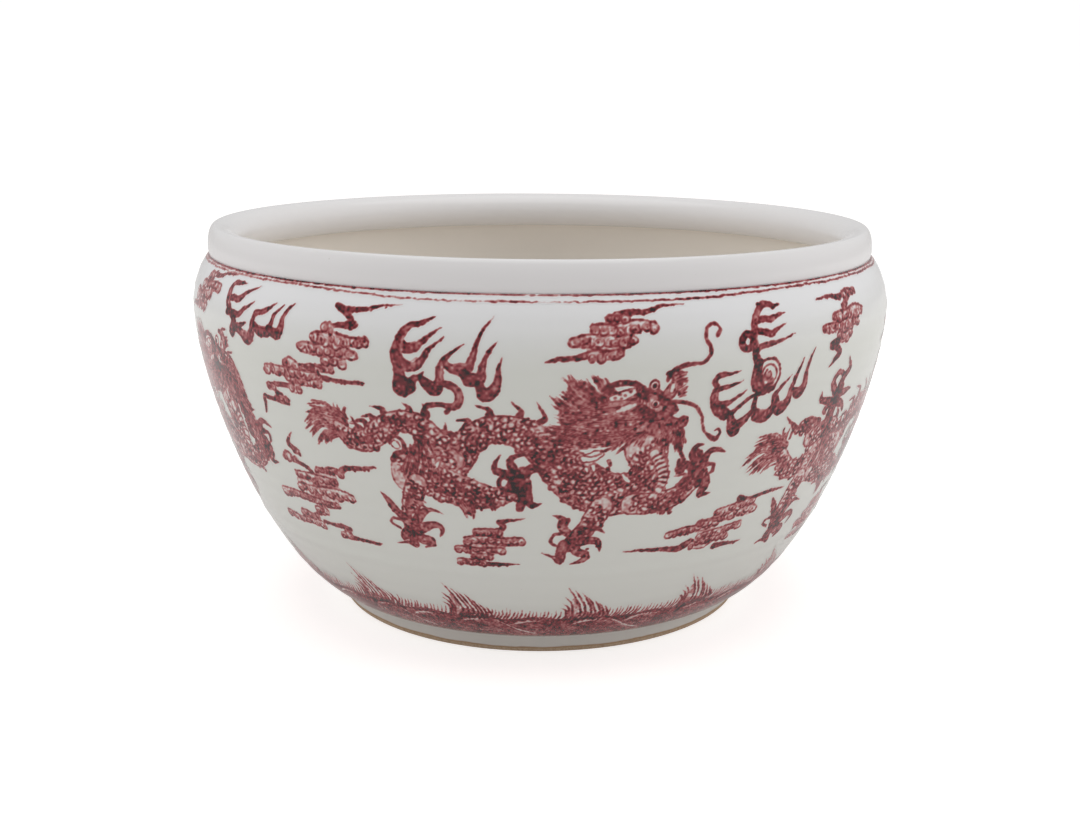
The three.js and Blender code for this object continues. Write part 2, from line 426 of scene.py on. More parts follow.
def spline(points, step=0.45):
    """A smooth line through given points (x, y, width): the Catmull-Rom cubic, which leaves
    each point in the direction from the one before it to the one after it."""
    p = np.asarray(points, float)
    ends = np.vstack([2 * p[0] - p[1], p, 2 * p[-1] - p[-2]])
    spans = np.hypot(*np.diff(p[:, :2], axis=0).T)
    counts = np.maximum(np.ceil(spans / step).astype(int), 2)
    t = np.concatenate([i + np.arange(n) / n for i, n in enumerate(counts)] + [[len(p) - 1.0]])
    i = np.minimum(t.astype(int), len(p) - 2)
    f = (t - i)[:, None]
    a, b, c, d = ends[i], ends[i + 1], ends[i + 2], ends[i + 3]
    square, cube = 2 * a - 5 * b + 4 * c - d, 3 * b - a - 3 * c + d
    return 0.5 * (2 * b + (c - a) * f + square * f**2 + cube * f**3)


def window(low, high):
    """The part of the sheet between two corners in mm: its slices, and the x and y of its points."""
    across = [(low[0] - sheet_left) / cell_x, (high[0] - sheet_left) / cell_x]
    ends = [
        (int(np.clip(np.floor(start), 0, size)), int(np.clip(np.ceil(stop) + 1, 0, size)))
        for (start, stop), size in zip(([low[1] / cell_y, high[1] / cell_y], across), ink.shape)
    ]
    y, x = (np.arange(*pair) for pair in ends)
    return tuple(slice(*pair) for pair in ends), sheet_left + cell_x * x[None, :], cell_y * y[:, None]


def depth_inside(line, x, y):
    """How deep each point lies inside a stroke in mm, the largest of radius minus distance over
    the stroke's samples, and which sample that is. It goes a few samples at a time."""
    shape = np.broadcast(x, y).shape
    best, which = np.full(shape, FAR_OUT), np.zeros(shape, int)
    for k in range(0, len(line), BATCH):
        some = line[k : k + BATCH]
        reach = some[:, 2].max() / 2 + 2 * SOFT
        low, high = some[:, :2].min(0) - reach, some[:, :2].max(0) + reach
        across = np.flatnonzero((x[0] > low[0]) & (x[0] < high[0]))
        up = np.flatnonzero((y[:, 0] > low[1]) & (y[:, 0] < high[1]))
        if len(across) == 0 or len(up) == 0:
            continue
        near = (slice(up[0], up[-1] + 1), slice(across[0], across[-1] + 1))
        away = np.hypot(x[:, near[1], None] - some[:, 0], y[near[0], :, None] - some[:, 1])
        deep = some[:, 2] / 2 - away
        nearest = deep.argmax(axis=2)
        deep = np.take_along_axis(deep, nearest[:, :, None], axis=2)[:, :, 0]
        better = deep > best[near]
        best[near] = np.where(better, deep, best[near])
        which[near] = np.where(better, nearest + k, which[near])
    return best, which


def lay(part, amount, cover, build):
    """Puts ink on the sheet. The thicker layer shows, plus build times the thinner one, as where
    strokes cross. cover is how far what lay there is wiped off first."""
    there = ink[part] * (1 - cover)
    ink[part] = np.maximum(there, amount) + build * np.minimum(there, amount)


def brush(place, points, fill=1.0, edge=0.0, cover=0.0, build=0.1):
    """One stroke through points (x, y, width) in mm. fill is the ink inside, one value or a list
    of values spaced along the stroke, and edge is what pools along its border. cover and build
    are as for lay()."""
    p = np.array(points, float)
    stray = place.chance.normal(0, place.hand, 2)
    p[:, :2] += [place.x, place.y] + stray + place.chance.normal(0, STRAY * place.hand, (len(p), 2))
    line = spline(p)
    line[:, 2] = np.maximum(line[:, 2], 0)
    reach = line[:, 2].max() / 2 + SOFT
    part, x, y = window(line[:, :2].min(0) - reach, line[:, :2].max(0) + reach)
    if x.size == 0 or y.size == 0:
        return
    depth, which = depth_inside(line, x, y)
    body = smooth_step(depth / SOFT + 0.5)
    pool = np.exp(-(((depth - POOL_DEPTH) / POOL_WIDTH) ** 2))
    levels = np.atleast_1d(fill)
    along = np.interp(np.linspace(0, 1, len(line)), np.linspace(0, 1, len(levels)), levels)[which]
    lay(part, body * (along + edge * pool), cover * body, build)


print("a stroke 10 mm long is sampled at", len(spline([(0, 0, 1), (10, 0, 1)])), "points")

# %% Many strokes at once
def each(draw, place, rows):
    """Draws a list of strokes or tufts of one kind in turn. Each row holds what draw() takes
    after the place, in the same order."""
    for row in rows:
        draw(place, *row)


def dots(place, spots, fill, size):
    """Pools of pigment where the brush rested, at (x, y) in mm, size mm across."""
    for x, y in spots:
        rest = [(x - 0.2, y - 0.1, 0.75 * size), (x + 0.3, y + 0.2, 0.6 * size)]
        brush(place, rest, fill, build=0)


def stamp_arcs(place, x, y, angle, radius, thickness, strength, opening=2.0, pit=0.0, stretch=1.0):
    """Many small arcs at once: at (x, y), bulging towards angle, each a part circle of radius
    that spans opening radians to both sides of that direction. pit is the radius of a light
    spot that is wiped clear in the middle of each. stretch draws them out along their angle."""
    reach = int(np.ceil((radius.max() * stretch + 1.0) / cell_y))
    span = np.arange(-reach, reach + 1)
    given = (x + place.x, y + place.y, angle, radius, strength)
    x, y, angle, radius, strength = (values[:, None, None] for values in given)
    column = np.round((x - sheet_left) / cell_x).astype(int) + span[None, None, :]
    row = np.round(y / cell_y).astype(int) + span[None, :, None]
    u = sheet_left + column * cell_x - x
    v = row * cell_y - y
    ahead = (np.cos(angle) * u + np.sin(angle) * v) / stretch
    aside = np.cos(angle) * v - np.sin(angle) * u
    off = np.abs((np.arctan2(aside, ahead) + np.pi) % (2 * np.pi) - np.pi)
    away = np.hypot(ahead, aside)
    far = np.abs(away - radius) + 2.0 * np.maximum(off - opening, 0)
    amount = strength * smooth_step((thickness / 2 - far) / SOFT + 0.5)
    column, row = np.broadcast_arrays(column, row)
    inside = (row >= 0) & (row < ink.shape[0]) & (column >= 0) & (column < ink.shape[1])
    if pit > 0:
        keep = 1 - 0.6 * smooth_step((pit - away) / SOFT + 0.5)
        spots = inside & (keep < 0.98)
        np.minimum.at(ink, (row[spots], column[spots]), ink[row[spots], column[spots]] * keep[spots])
    inside &= amount > 0.02
    np.maximum.at(ink, (row[inside], column[inside]), amount[inside])


# %% [markdown]
# Flames and the flaming pearl
#
# A flame is a row of tongues, each a comma-shaped stroke: loaded at its head, where the pigment
# pools dark, and drawn out to a hair at its tip. The pearl that the dragon chases is a ring
# round a spiral. Every tongue is one brush stroke here, through three to six points.

# %% Flames
def tongue(place, points, head=1.05):
    """A flame's tongue: a stroke with dark edges, pooled at its head, thinner at its waist."""
    brush(place, points, fill=[0.84 * head, 0.7, 0.58, 0.66, 0.95], edge=0.48, build=0)


def streak(place, *points):
    """A light line through the middle of a wide stroke, where the brush left little pigment."""
    brush(place, points, fill=0.42, cover=0.75, build=0)


def back_flames(place):
    """The flames over the dragon's back, which rise from its haunch on a curled stem."""
    each(tongue, place, [
        ([(-64, 179.5, 7), (-68, 177.5, 8.5), (-68.5, 183, 6.5), (-69.5, 189, 5), (-70.5, 194, 5.5),
            (-69, 200, 5), (-67.5, 205, 4), (-63.5, 209.3, 3.2), (-58, 211, 2.6), (-51, 214.5, 0.4)], 1.25),
        ([(-68.5, 203.5, 4), (-66, 199, 5.5), (-61, 199, 5), (-56, 202.6, 3), (-51.5, 206.6, 1.6),
            (-47, 209.6, 0.3)], 1.05),
        ([(-70, 196, 4), (-67, 190.5, 6), (-61, 189.6, 5), (-57, 193, 3.2), (-53, 199, 2),
            (-46, 205, 0.3)], 1.05),
        ([(-68, 181, 8), (-64, 180.5, 6), (-61, 183, 3.6), (-58.5, 184.5, 2.4), (-56, 187, 0.6)], 1.05),
        ([(-58, 184.5, 3), (-54.5, 181, 5.5), (-51, 178.6, 7), (-48.3, 183, 4.6), (-48, 189, 3.8),
            (-45.5, 194, 3), (-42, 197.5, 1.6), (-36, 202, 0.3)], 1.25),
        ([(-46, 193.6, 2), (-43.5, 190, 4), (-38, 188.4, 5.6), (-33.7, 190.5, 4.6), (-31.5, 196.5, 3),
            (-29.5, 203, 2), (-26, 210, 1.2), (-21.5, 216, 0.2)], 1.05),
        ([(-36, 187.5, 4.5), (-32.5, 184.3, 7), (-28, 185.5, 5.5), (-26.8, 190.5, 3.2), (-24.5, 197, 2),
            (-19.5, 204, 0.3)], 1.25),
        ([(-29, 182, 4), (-26.2, 176.3, 6.5), (-22, 179, 5.5), (-19.6, 184.5, 3.4), (-19.3, 190, 1.8),
            (-17.5, 196, 0.3)], 1.3),
        ([(-50, 181, 3), (-44.5, 181.4, 3.6), (-40, 178.8, 4), (-38.6, 173.4, 4.2), (-42, 169.6, 3.6),
            (-48, 170.5, 2.6), (-54.5, 169.6, 2.6), (-57.6, 165, 2.2), (-57.5, 158, 1.4)], 0.8),
        ([(-44.5, 170, 2.2), (-44.6, 167.4, 2.6), (-46, 166.4, 2)], 1.05),
    ])
    each(streak, place, [
        ((-67.5, 196, 1), (-66.6, 202, 1.3), (-64.5, 206.5, 1)),
        ((-47.5, 184, 1), (-46.6, 191, 1.1)),
        ((-41, 179.4, 1), (-39.4, 174, 1.2), (-42, 170.6, 0.9)),
        ((-41, 191.5, 1.2), (-35.4, 192, 1.2)),
        ((-32.5, 194, 0.9), (-30.5, 200, 0.8)),
        ((-27.4, 188, 0.9), (-26, 193, 0.9)),
        ((-62, 201, 0.8), (-57.5, 203.2, 0.7)),
        ((-63, 192, 0.8), (-59, 194, 0.8)),
    ])
    dots(place, [(-69, 174.8), (-71, 180), (-64.6, 176.8), (-51.5, 176), (-48, 178.6), (-54.5, 178.8),
        (-33.5, 182), (-29.5, 182.4), (-37.5, 186.5), (-26.6, 174), (-23.5, 176.6), (-70.5, 190.5),
        (-72, 196)], 1.25, 2.2)


# %% Pearl
def pearl(place):
    """The flaming pearl: two rings and a spiral core, with a wash to the lower left."""
    angle = np.linspace(0, 2 * np.pi, 17)
    coil = [((2.8 - 0.28 * a) * np.cos(a + 2), (3.0 - 0.28 * a) * np.sin(a + 2)) for a in angle]
    each(brush, place, [
        ([(118.5 + 4 * np.cos(a), 175.5 + 3.5 * np.sin(a), 4.5) for a in angle[:-3]], 0.45),
        ([(120 + 8 * np.cos(a), 180 + 8.8 * np.sin(a), 1.4) for a in angle], 0.95),
        ([(120.3 + 5 * np.cos(a), 180.2 + 5.6 * np.sin(a), 1.2) for a in angle], 0.85),
        ([(120.2 + across, 180 + up, 1.2) for across, up in coil], 0.95),
    ])
    each(tongue, place, [
        ([(113.5, 187, 5), (112.3, 181, 6), (113.2, 175.5, 6.5), (117.5, 171.8, 5.5), (124, 172, 3)], 1.0),
        ([(113, 187, 5), (110.8, 191, 4), (109.8, 196, 3.6), (109.3, 201, 4), (110, 207, 4), (112.6, 213, 4),
            (117, 216.8, 3.4), (121, 216.8, 3.4), (124, 215.6, 2.2), (129, 216.4, 0.3)], 1.2),
        ([(111.5, 209, 3), (116, 210, 3.6), (121, 209.4, 3.4), (126, 211, 1.8), (132, 212, 0.3)], 1.05),
        ([(110, 203.5, 3), (115, 203, 3.2), (120.5, 201.5, 3.8), (125, 203.5, 2), (131.5, 206, 0.3)], 1.05),
        ([(110, 192, 2.6), (113.5, 195.4, 3.2), (119, 196.2, 3), (126, 197.3, 1.8), (137, 200, 0.3)], 1.05),
    ])
    brush(place, [(105.5 + 3.4 * np.cos(a), 199 + 3.8 * np.sin(a), 3.8) for a in angle], 0.85, 0.3)
    each(tongue, place, [
        ([(95, 161.5, 7), (90.5, 165.5, 6.5), (87.7, 171, 4.6), (89, 176, 3.4), (87.5, 180, 3.2),
            (90, 183, 3), (96, 183.3, 1.8), (102, 184.4, 0.3)], 1.25),
        ([(88, 174.6, 3), (92, 175.8, 2.8), (98, 176.7, 1.8), (104.5, 178.8, 0.3)], 1.05),
        ([(90, 168, 3), (95, 167.5, 3.6), (100, 169.4, 2.2), (107.5, 173.8, 0.3)], 1.05),
        ([(96, 162.5, 3.6), (100, 161.5, 2.8), (104, 164.5, 2.2), (110, 168.6, 2), (116, 170.5, 2)], 1.05),
        ([(103, 151.5, 7.5), (100.5, 156, 5.5), (99.5, 160, 3.4), (101, 162.5, 1)], 1.25),
        ([(103, 153, 6.5), (107.5, 156, 5), (111, 159.5, 3), (113.5, 163, 1.6)], 1.05),
        ([(113.5, 168, 2.6), (113.5, 162, 3.8), (117, 157.8, 7), (123, 157.5, 7), (127, 162, 4),
            (126.5, 168, 3.2), (131, 173, 2), (137, 178, 0.3)], 0.9),
        ([(128, 166, 3), (128.5, 162, 5.5), (132, 159.5, 7), (136.5, 163, 4.8), (138, 170, 3.2),
            (141, 178, 2), (145, 186, 0.3)], 0.9),
        ([(140.5, 169, 3), (144, 167, 6.5), (147.5, 170.5, 4.6), (148, 178, 2.8), (150, 185, 1.6),
            (153.5, 191, 0.3)], 1.1),
    ])
    each(streak, place, [
        ((118, 160.5, 1), (122.5, 160.4, 1)),
        ((130, 163.5, 1), (134, 163, 1)),
        ((111.4, 196, 1), (110.8, 204, 1)),
        ((112.4, 209.5, 1), (114.6, 213.6, 1)),
        ((88.8, 170, 0.9), (90, 177, 0.9)),
        ((126.6, 163.5, 0.9), (127.6, 168.6, 0.8)),
    ])
    dots(place, [(93.5, 160.6), (96.6, 160), (102, 149), (105, 151), (116, 155.6), (120.5, 154.8),
        (124.5, 156), (130.5, 157.4), (134.6, 158), (143.6, 164.6), (112.6, 183), (105, 195.6),
        (114.6, 217.6)], 1.35, 2.2)


# %% Flames ahead
def flames_ahead(place):
    """Flames ahead of a dragon whose pearl is out of sight: a stem with three tongues, and a row
    of pooled tongues beside it. Their places are from that dragon's own start."""
    each(tongue, place, [
        ([(77, 190, 6), (78.5, 195, 4.6), (75, 199, 4), (70, 204, 4.6), (69.5, 210, 4.2), (71.5, 214.4, 3.4),
            (77, 215.6, 2.6), (84, 216, 0.4)], 1.2),
        ([(71, 206, 3.4), (76, 206.6, 3.6), (82, 206.4, 3.4), (88, 210.5, 2.4), (99, 215.4, 0.4)], 1.05),
        ([(72, 199, 3.6), (78, 198.6, 4), (84, 198.6, 3.4), (90, 202.5, 2.4), (98, 207.6, 0.4)], 1.05),
        ([(77.5, 189, 6), (81, 191.6, 4), (86, 193.4, 3), (92, 195.4, 1)], 1.2),
        ([(84, 191, 3), (89, 190, 5), (94, 187.6, 7), (98.4, 191, 5), (99, 197, 3.4), (101.5, 202, 3),
            (107, 203, 3), (112, 206, 1.8), (117, 209, 0.4)], 0.9),
        ([(101, 196, 3), (105, 193, 5.6), (112, 193.6, 5), (114.5, 198, 3), (117, 203.6, 2),
            (123, 209, 0.4)], 1.1),
        ([(113, 194.6, 4), (119, 192.4, 6), (122.4, 195.4, 4.4), (124, 202, 2.6), (128, 208, 1.4),
            (131, 210, 0.4)], 1.15),
    ])
    each(streak, place, [
        ((71.6, 203, 1), (71.6, 210, 1)),
        ((89.6, 192, 1.1), (95, 192.4, 1.1)),
        ((105, 195.6, 0.9), (110, 195.4, 0.9)),
    ])
    dots(place, [(94, 185), (90, 187), (97.4, 187), (78, 188), (119.6, 190.4), (106, 191.4)], 1.25, 2.2)


# %% [markdown]
# Clouds
#
# The clouds are heaps of rows, each row a chain of round lobes like the heads of mushrooms. The
# rows lie close on one another, joined by a stem at one end, and ragged tails trail from the
# heap. Each lobe is painted over the one before: a pale ground with a dark rim that is heaviest
# below, and a curl with a dot in it.

# %% Lobes, rows and tails
NEXT_ROW = 9  # mm


def lobe(place, x, y, wide, tall, turn=0.0):
    """One lobe of a cloud, an ellipse with a dark rim, heavier at the bottom, round a light
    ground, with a small curl that opens at the angle turn and a dot."""
    x, y = x + place.x, y + place.y
    part, u, v = window((x - wide, y - tall), (x + wide, y + tall))
    if u.size == 0 or v.size == 0:
        return
    u, v = (u - x) / (wide / 2), (v - y) / (tall / 2)
    away = np.hypot(u, v)
    depth = (1 - away) * min(wide, tall) / 2
    body = smooth_step(depth / SOFT + 0.5)
    rim = np.exp(-(((depth - 0.5) / 0.45) ** 2)) * np.clip(0.6 - 0.5 * v, 0.25, 1.1)
    facing = np.cos(np.arctan2(v, u) - turn)
    curl = np.exp(-(((away - 0.42) * tall / 2 / 0.42) ** 2)) * smooth_step(0.8 + facing)
    dot = np.exp(-((away * tall / 2 / 0.45) ** 2))
    lay(part, body * (0.1 + 1.15 * rim + 0.35 * curl + 0.9 * dot), body, 0.05)


def cloud_row(place, x0, x1, y, tall=6.6, lean=0.0):
    """A row of lobes from x0 to x1 at height y, over a wash that joins them. The lobes differ in
    size and crowd one another, and a line runs along the top. lean raises its right end."""
    chance = place.chance
    flat = lean * (x1 - x0)
    sway = chance.normal(0, 0.8, 2)
    near, far = x0 + 0.35 * (x1 - x0), x0 + 0.7 * (x1 - x0)
    ground = [
        (x0, y + 0.2, tall * 0.8),
        (near, y + 0.3 + sway[0] + 0.35 * flat, tall * 0.95),
        (far, y + 0.3 + sway[1] + 0.7 * flat, tall * 0.9),
        (x1, y + 0.2 + flat, tall * 0.8),
    ]
    brush(place, ground, fill=0.16, edge=0.55, cover=0.9)
    count = max(int(round((x1 - x0) / (tall * 0.6))) + 1, 2)
    x = np.linspace(x0, x1, count) + chance.normal(0, 0.6, count)
    order = np.argsort(-np.abs(x - x0 - chance.uniform(0.3, 0.7) * (x1 - x0)))
    for k in order[::-1]:
        wide, high = tall * chance.uniform(0.65, 1.15), tall * chance.uniform(0.65, 1.0)
        level = y + lean * (x[k] - x0) + chance.normal(-0.2, 0.7)
        lobe(place, x[k], level, wide, high, chance.uniform(0, 6.3))
    for k in range(count // 3):
        at = chance.uniform(x0, x1)
        low = y + lean * (at - x0) - 0.4 * tall
        fold = [(at, low, 0.8), (at + chance.normal(0, 0.8), low + chance.uniform(0.3, 0.8) * tall, 1.1)]
        brush(place, fold, fill=chance.uniform(0.8, 1.2), build=0)
    top = y + 0.42 * tall
    line = [
        (x0 - 0.3 * tall, top - 0.16 * tall, 0.8),
        (x0 + 0.1 * tall, top, 1.1),
        (near, top + sway[0] + 0.35 * flat, 1.2),
        (far, top + sway[1] + 0.7 * flat, 1.2),
        (x1 - 0.1 * tall, top + flat, 1.0),
        (x1 + 0.3 * tall, top + flat - 0.16 * tall, 0.8),
    ]
    brush(place, line, fill=0.8, build=0)


def cloud_tail(place, points):
    """A cloud's trailing tail: a ragged stroke that runs out to a hair, with small pools on it."""
    brush(place, points, fill=0.85, edge=0.2)
    line = spline(points)
    for k in place.chance.integers(0, len(line), max(len(line) // 9, 2)):
        x, y, width = line[k]
        if width > 0.8:
            dots(place, [(x, y - 0.25 * width)], 1.25, min(width, 2.0) * 0.9)


def cloud(place, stem, tails, rows):
    """A whole cloud: its stem, a wash where two rows meet, the tails, then the rows one over the
    other. Two rows meet if they overlap and lie less than NEXT_ROW mm apart."""
    brush(place, stem, fill=0.6, edge=0.35)
    for below, above in zip(rows, rows[1:]):
        x0, x1 = max(below[0], above[0]), min(below[1], above[1])
        if x1 > x0 and abs(above[2] - below[2]) < NEXT_ROW:
            middle = (below[2] + above[2]) / 2
            brush(place, [(x0, middle, 5), (x1, middle, 5)], fill=0.18, edge=0.2)
    for points in tails:
        cloud_tail(place, points)
    for row in rows:
        cloud_row(place, *row)


# %% Kinds of cloud
# Each kind of cloud: points (x, y, width) of its stem and tails, and its rows of lobes as
# (x from, x to, y, height of a lobe, lean), all in mm where the front dragon has it
CLOUDS = {
    "over_the_foot": dict(
        stem=[(-58, 229, 4), (-62, 226, 4), (-66, 223, 5)],
        tails=[
            [(-49, 230, 3.4), (-58, 231.4, 3), (-68, 229.4, 3), (-78, 230.4, 2), (-90, 230.2, 0.3)],
            [
                (-66, 207, 4), (-74, 206, 4), (-79, 204, 4), (-74, 202.4, 4), (-70, 199, 4),
                (-74, 196, 3), (-79, 192, 0.6),
            ],
        ],
        rows=[(-72, -60, 207.6, 6.4), (-86, -52, 213, 6), (-76, -46, 218.6, 6.6), (-62, -50, 230, 4.4)],
    ),
    "over_the_tail": dict(
        stem=[(-103, 216, 3), (-99, 213.6, 3.4), (-95.5, 210.5, 3), (-95, 208, 4)],
        tails=[
            [
                (-104.5, 216.4, 3.4), (-98, 214.8, 2.8), (-90, 215.4, 2.6), (-85, 216.4, 2),
                (-79, 218.2, 1.2), (-69, 219.2, 0.3),
            ],
            [(-93, 208.4, 4), (-96, 207.6, 4), (-103, 207, 2.4), (-107, 206, 3)],
            [(-107, 184, 4), (-113, 184.4, 2.4), (-121, 184, 2.2), (-128, 183, 2.4)],
        ],
        rows=[
            (-111, -107, 184.2, 5), (-109, -100, 188.2, 6.4), (-107, -94, 192.5, 7),
            (-125, -109, 193.6, 6.8), (-110, -103, 198.6, 7), (-117, -87, 199.6, 6.2, -0.02),
            (-111, -106.5, 205.2, 5.4),
        ],
    ),
    "behind_the_tail": dict(
        stem=[(-133, 174, 6), (-133, 170.5, 4), (-141, 170.6, 3), (-149, 170, 3)],
        tails=[
            [(-114, 178.6, 3), (-108, 178.2, 2.4), (-98, 178, 2), (-92, 178.2, 2), (-88, 178.4, 0.6)],
            [(-149, 165.6, 3), (-144, 164, 3)],
            [
                (-141, 161.8, 4), (-147, 161.8, 3.8), (-153, 161.6, 2.6), (-160, 161.6, 2.6),
                (-161, 157, 2.4), (-163, 152, 0.8),
            ],
        ],
        rows=[
            (-155, -151, 168.4, 5.6), (-149, -143, 162.8, 4.6), (-136, -131, 170.4, 5.6),
            (-129, -116, 174.8, 5.4), (-153, -116, 178.4, 6.2), (-138, -131, 183, 5.8),
            (-126, -113, 182.4, 3.6),
        ],
    ),
    "over_the_head": dict(
        stem=[(37, 216.5, 3), (40, 213.5, 3.4), (38, 210, 3)],
        tails=[
            [(36.5, 216.2, 3.4), (43, 217.4, 3), (51, 217.4, 2.6), (60, 220, 1.5), (72, 220.6, 0.3)],
            [(25, 198.2, 4), (17, 195.8, 3), (9, 195.2, 2.6), (2, 193.8, 0.6)],
        ],
        rows=[
            (24, 38, 196.6, 6, 0.05), (16, 44, 202.8, 6.6, 0.02), (26, 55, 209.2, 6.6, 0.02),
            (33, 41, 214, 5.4, 0.1),
        ],
    ),
    "below_the_back": dict(
        stem=[(-22, 102, 3), (-20, 99, 3), (-26, 96, 3)],
        tails=[
            [(-23, 102.6, 3), (-16, 104.2, 2), (-8, 105.4, 0.3)],
            [(-36, 73, 4), (-26, 73.2, 2.4), (-19, 73.4, 2), (-12, 73.6, 0.3)],
        ],
        rows=[
            (-48, -34, 74, 5.6), (-38, -29, 78.6, 5.4), (-48, -22, 83, 6), (-41, -11, 89.4, 6.8, 0.02),
            (-36, -23, 95, 6, 0.06),
        ],
    ),
    "before_the_claw": dict(
        stem=[(119, 107, 3), (126, 104, 3), (124, 101, 4)],
        tails=[
            [(119, 107.4, 4), (126, 105.4, 3), (136, 106.5, 2.6), (146, 107.2, 2.2), (157, 107, 0.3)],
            [(92, 82.5, 5), (84, 79, 4.4), (75, 80, 3), (62, 81, 2), (49, 81.2, 0.3)],
            [(112, 75.4, 4.4), (120, 75.8, 2.8), (127, 74.8, 2), (134, 75.4, 0.3)],
        ],
        rows=[
            (94, 117, 79.6, 6, 0.1), (97, 125, 84.4, 6, 0.13), (76, 106, 89.2, 6, 0.12),
            (95, 133, 93.6, 6.6, 0.12), (105, 131, 99.8, 6, 0.12),
        ],
    ),
    "below_the_tail": dict(
        stem=[
            (-147, 125.4, 3), (-140, 123.4, 2.6), (-136, 120.6, 3), (-134.6, 116, 4), (-137, 108, 6),
            (-138, 96, 5), (-145, 91, 3),
        ],
        tails=[
            [(-144, 131.6, 4), (-149.4, 134.4, 4), (-148.6, 138, 2.4), (-144.6, 143.6, 0.4)],
            [
                (-114, 123.4, 4.6), (-110.5, 126.4, 3.6), (-104, 127.8, 2.8), (-97, 128.6, 2.4),
                (-91, 130.2, 1.4), (-89, 130.4, 0.4),
            ],
            [(-141, 86.6, 2.4), (-134, 86.2, 2), (-126, 86.4, 3.4), (-120, 85.6, 3)],
            [(-123, 85, 4), (-122, 82, 4), (-123, 80, 4)],
            [(-124, 79.8, 4.6), (-116, 79.2, 2.6), (-108, 79, 2.2), (-101, 78.6, 1.8), (-98, 79.4, 0.4)],
        ],
        rows=[
            (-128, -122, 80, 5), (-178, -144, 83.8, 6, -0.01), (-160, -146, 88.6, 5.6),
            (-143, -136, 95, 6), (-172, -146, 101.4, 6, -0.01), (-146, -124, 100.6, 6.2),
            (-151, -111, 108, 6.6), (-150, -119, 116.4, 5.2), (-131, -114, 122.4, 4.8, 0.04),
            (-157, -147, 126, 5), (-146, -143, 131.2, 4),
        ],
    ),
}
print(len(CLOUDS), "kinds of cloud,", sum(len(kind["rows"]) for kind in CLOUDS.values()), "rows of lobes")

# %% [markdown]
# The dragon
#
# A dragon is painted from back to front: the tuft of its tail and the fins first, then each
# length of the body over their roots, with a pink wash, a dark outline and scales row by row.
# The legs with their claws follow, the belly plates, and last the head with its mane, whiskers,
# beard and eyes. The long body is a line with a width, so its outline, scales and fins all
# follow from the same few points.

# %% Body, scales and fins
SCALE = 3.5  # mm across one painted scale
SCALE_INK = 1.026
MOST_ACROSS = 14  # scales to each side of a band's middle line
BORDER = 1.0  # mm along a band's edges that scales keep clear of
FIN_LEAN = 0.6  # share of a fin's height by which its tip hooks back
FINER = 1.35
NARROWER = 0.8
LOCK_INK = [0.38, 0.08, 0.08, 0.48]  # from the root of a lock of hair to its tip
print("scales", SCALE, "mm across, up to", 2 * MOST_ACROSS + 1, "in a row")


def frame_of(line):
    """Run along a line, and its unit directions along and to the left of it."""
    step = np.gradient(line[:, :2], axis=0)
    along = step / np.maximum(np.hypot(step[:, 0], step[:, 1]), 1e-9)[:, None]
    left = np.stack([-along[:, 1], along[:, 0]], axis=1)
    return run_of(line), along, left


def scales(place, points):
    """Scales over a band through points (x, y, width): rows of arcs across it, each row half a
    scale out of step with the one before, bulging down and towards the tail."""
    line = spline(points)
    run, along, left = frame_of(line)
    chance = place.chance
    rows_at = np.arange(SCALE / 2, run[-1], SCALE * 0.85)
    u, slot = np.meshgrid(rows_at, np.arange(-MOST_ACROSS, MOST_ACROSS + 1), indexing="ij")
    odd = (np.arange(len(rows_at)) % 2)[:, None] * 0.5
    v = (slot + odd) * SCALE * 0.9
    half = np.interp(u, run, line[:, 2]) / 2
    kept = np.abs(v) < half - BORDER
    u, v = u[kept], v[kept]
    v = v + chance.normal(0, 0.4, len(v))
    u = u + chance.normal(0, 0.4, len(u))
    x = np.interp(u, run, line[:, 0]) + v * np.interp(u, run, left[:, 0])
    y = np.interp(u, run, line[:, 1]) + v * np.interp(u, run, left[:, 1])
    angle = np.arctan2(-np.interp(u, run, along[:, 1]) - 0.8, -np.interp(u, run, along[:, 0]))
    angle = angle + chance.normal(0, 0.4, len(angle))
    many = len(x)
    radius = SCALE * chance.uniform(0.34, 0.56, many)
    strength = SCALE_INK * chance.uniform(0.7, 1.35, many)
    stamp_arcs(place, x, y, angle, radius, 0.8, strength, opening=1.6, pit=0.45, stretch=1.45)


def band(place, points, edge=0.8):
    """A scaled band: its wash with a dark outline, some broad strokes of darker wash along it,
    and its scales, with a few pools among them."""
    brush(place, points, fill=0.22, edge=edge, cover=0.9)
    line = spline(points)
    run, _, left = frame_of(line)
    chance = place.chance
    many = max(int(run[-1] / 7), 3)
    start = (chance.uniform(0, 0.85, many) * len(line)).astype(int)
    for k, aside in zip(start, chance.uniform(-0.36, 0.36, many)):
        stroke = line[k : k + 22 : 7].copy()
        stroke[:, :2] += left[k] * aside * line[k, 2]
        stroke[:, 2] = chance.uniform(2.0, 4.0)
        brush(place, stroke, fill=chance.uniform(0.4, 0.75), build=0)
    scales(place, points)
    spot = (chance.uniform(0.05, 0.95, many // 2 + 1) * len(line)).astype(int)
    aside = chance.uniform(-0.4, 0.4, len(spot)) * line[spot, 2]
    dots(place, line[spot, :2] + left[spot] * aside[:, None], 1.4, 1.7)


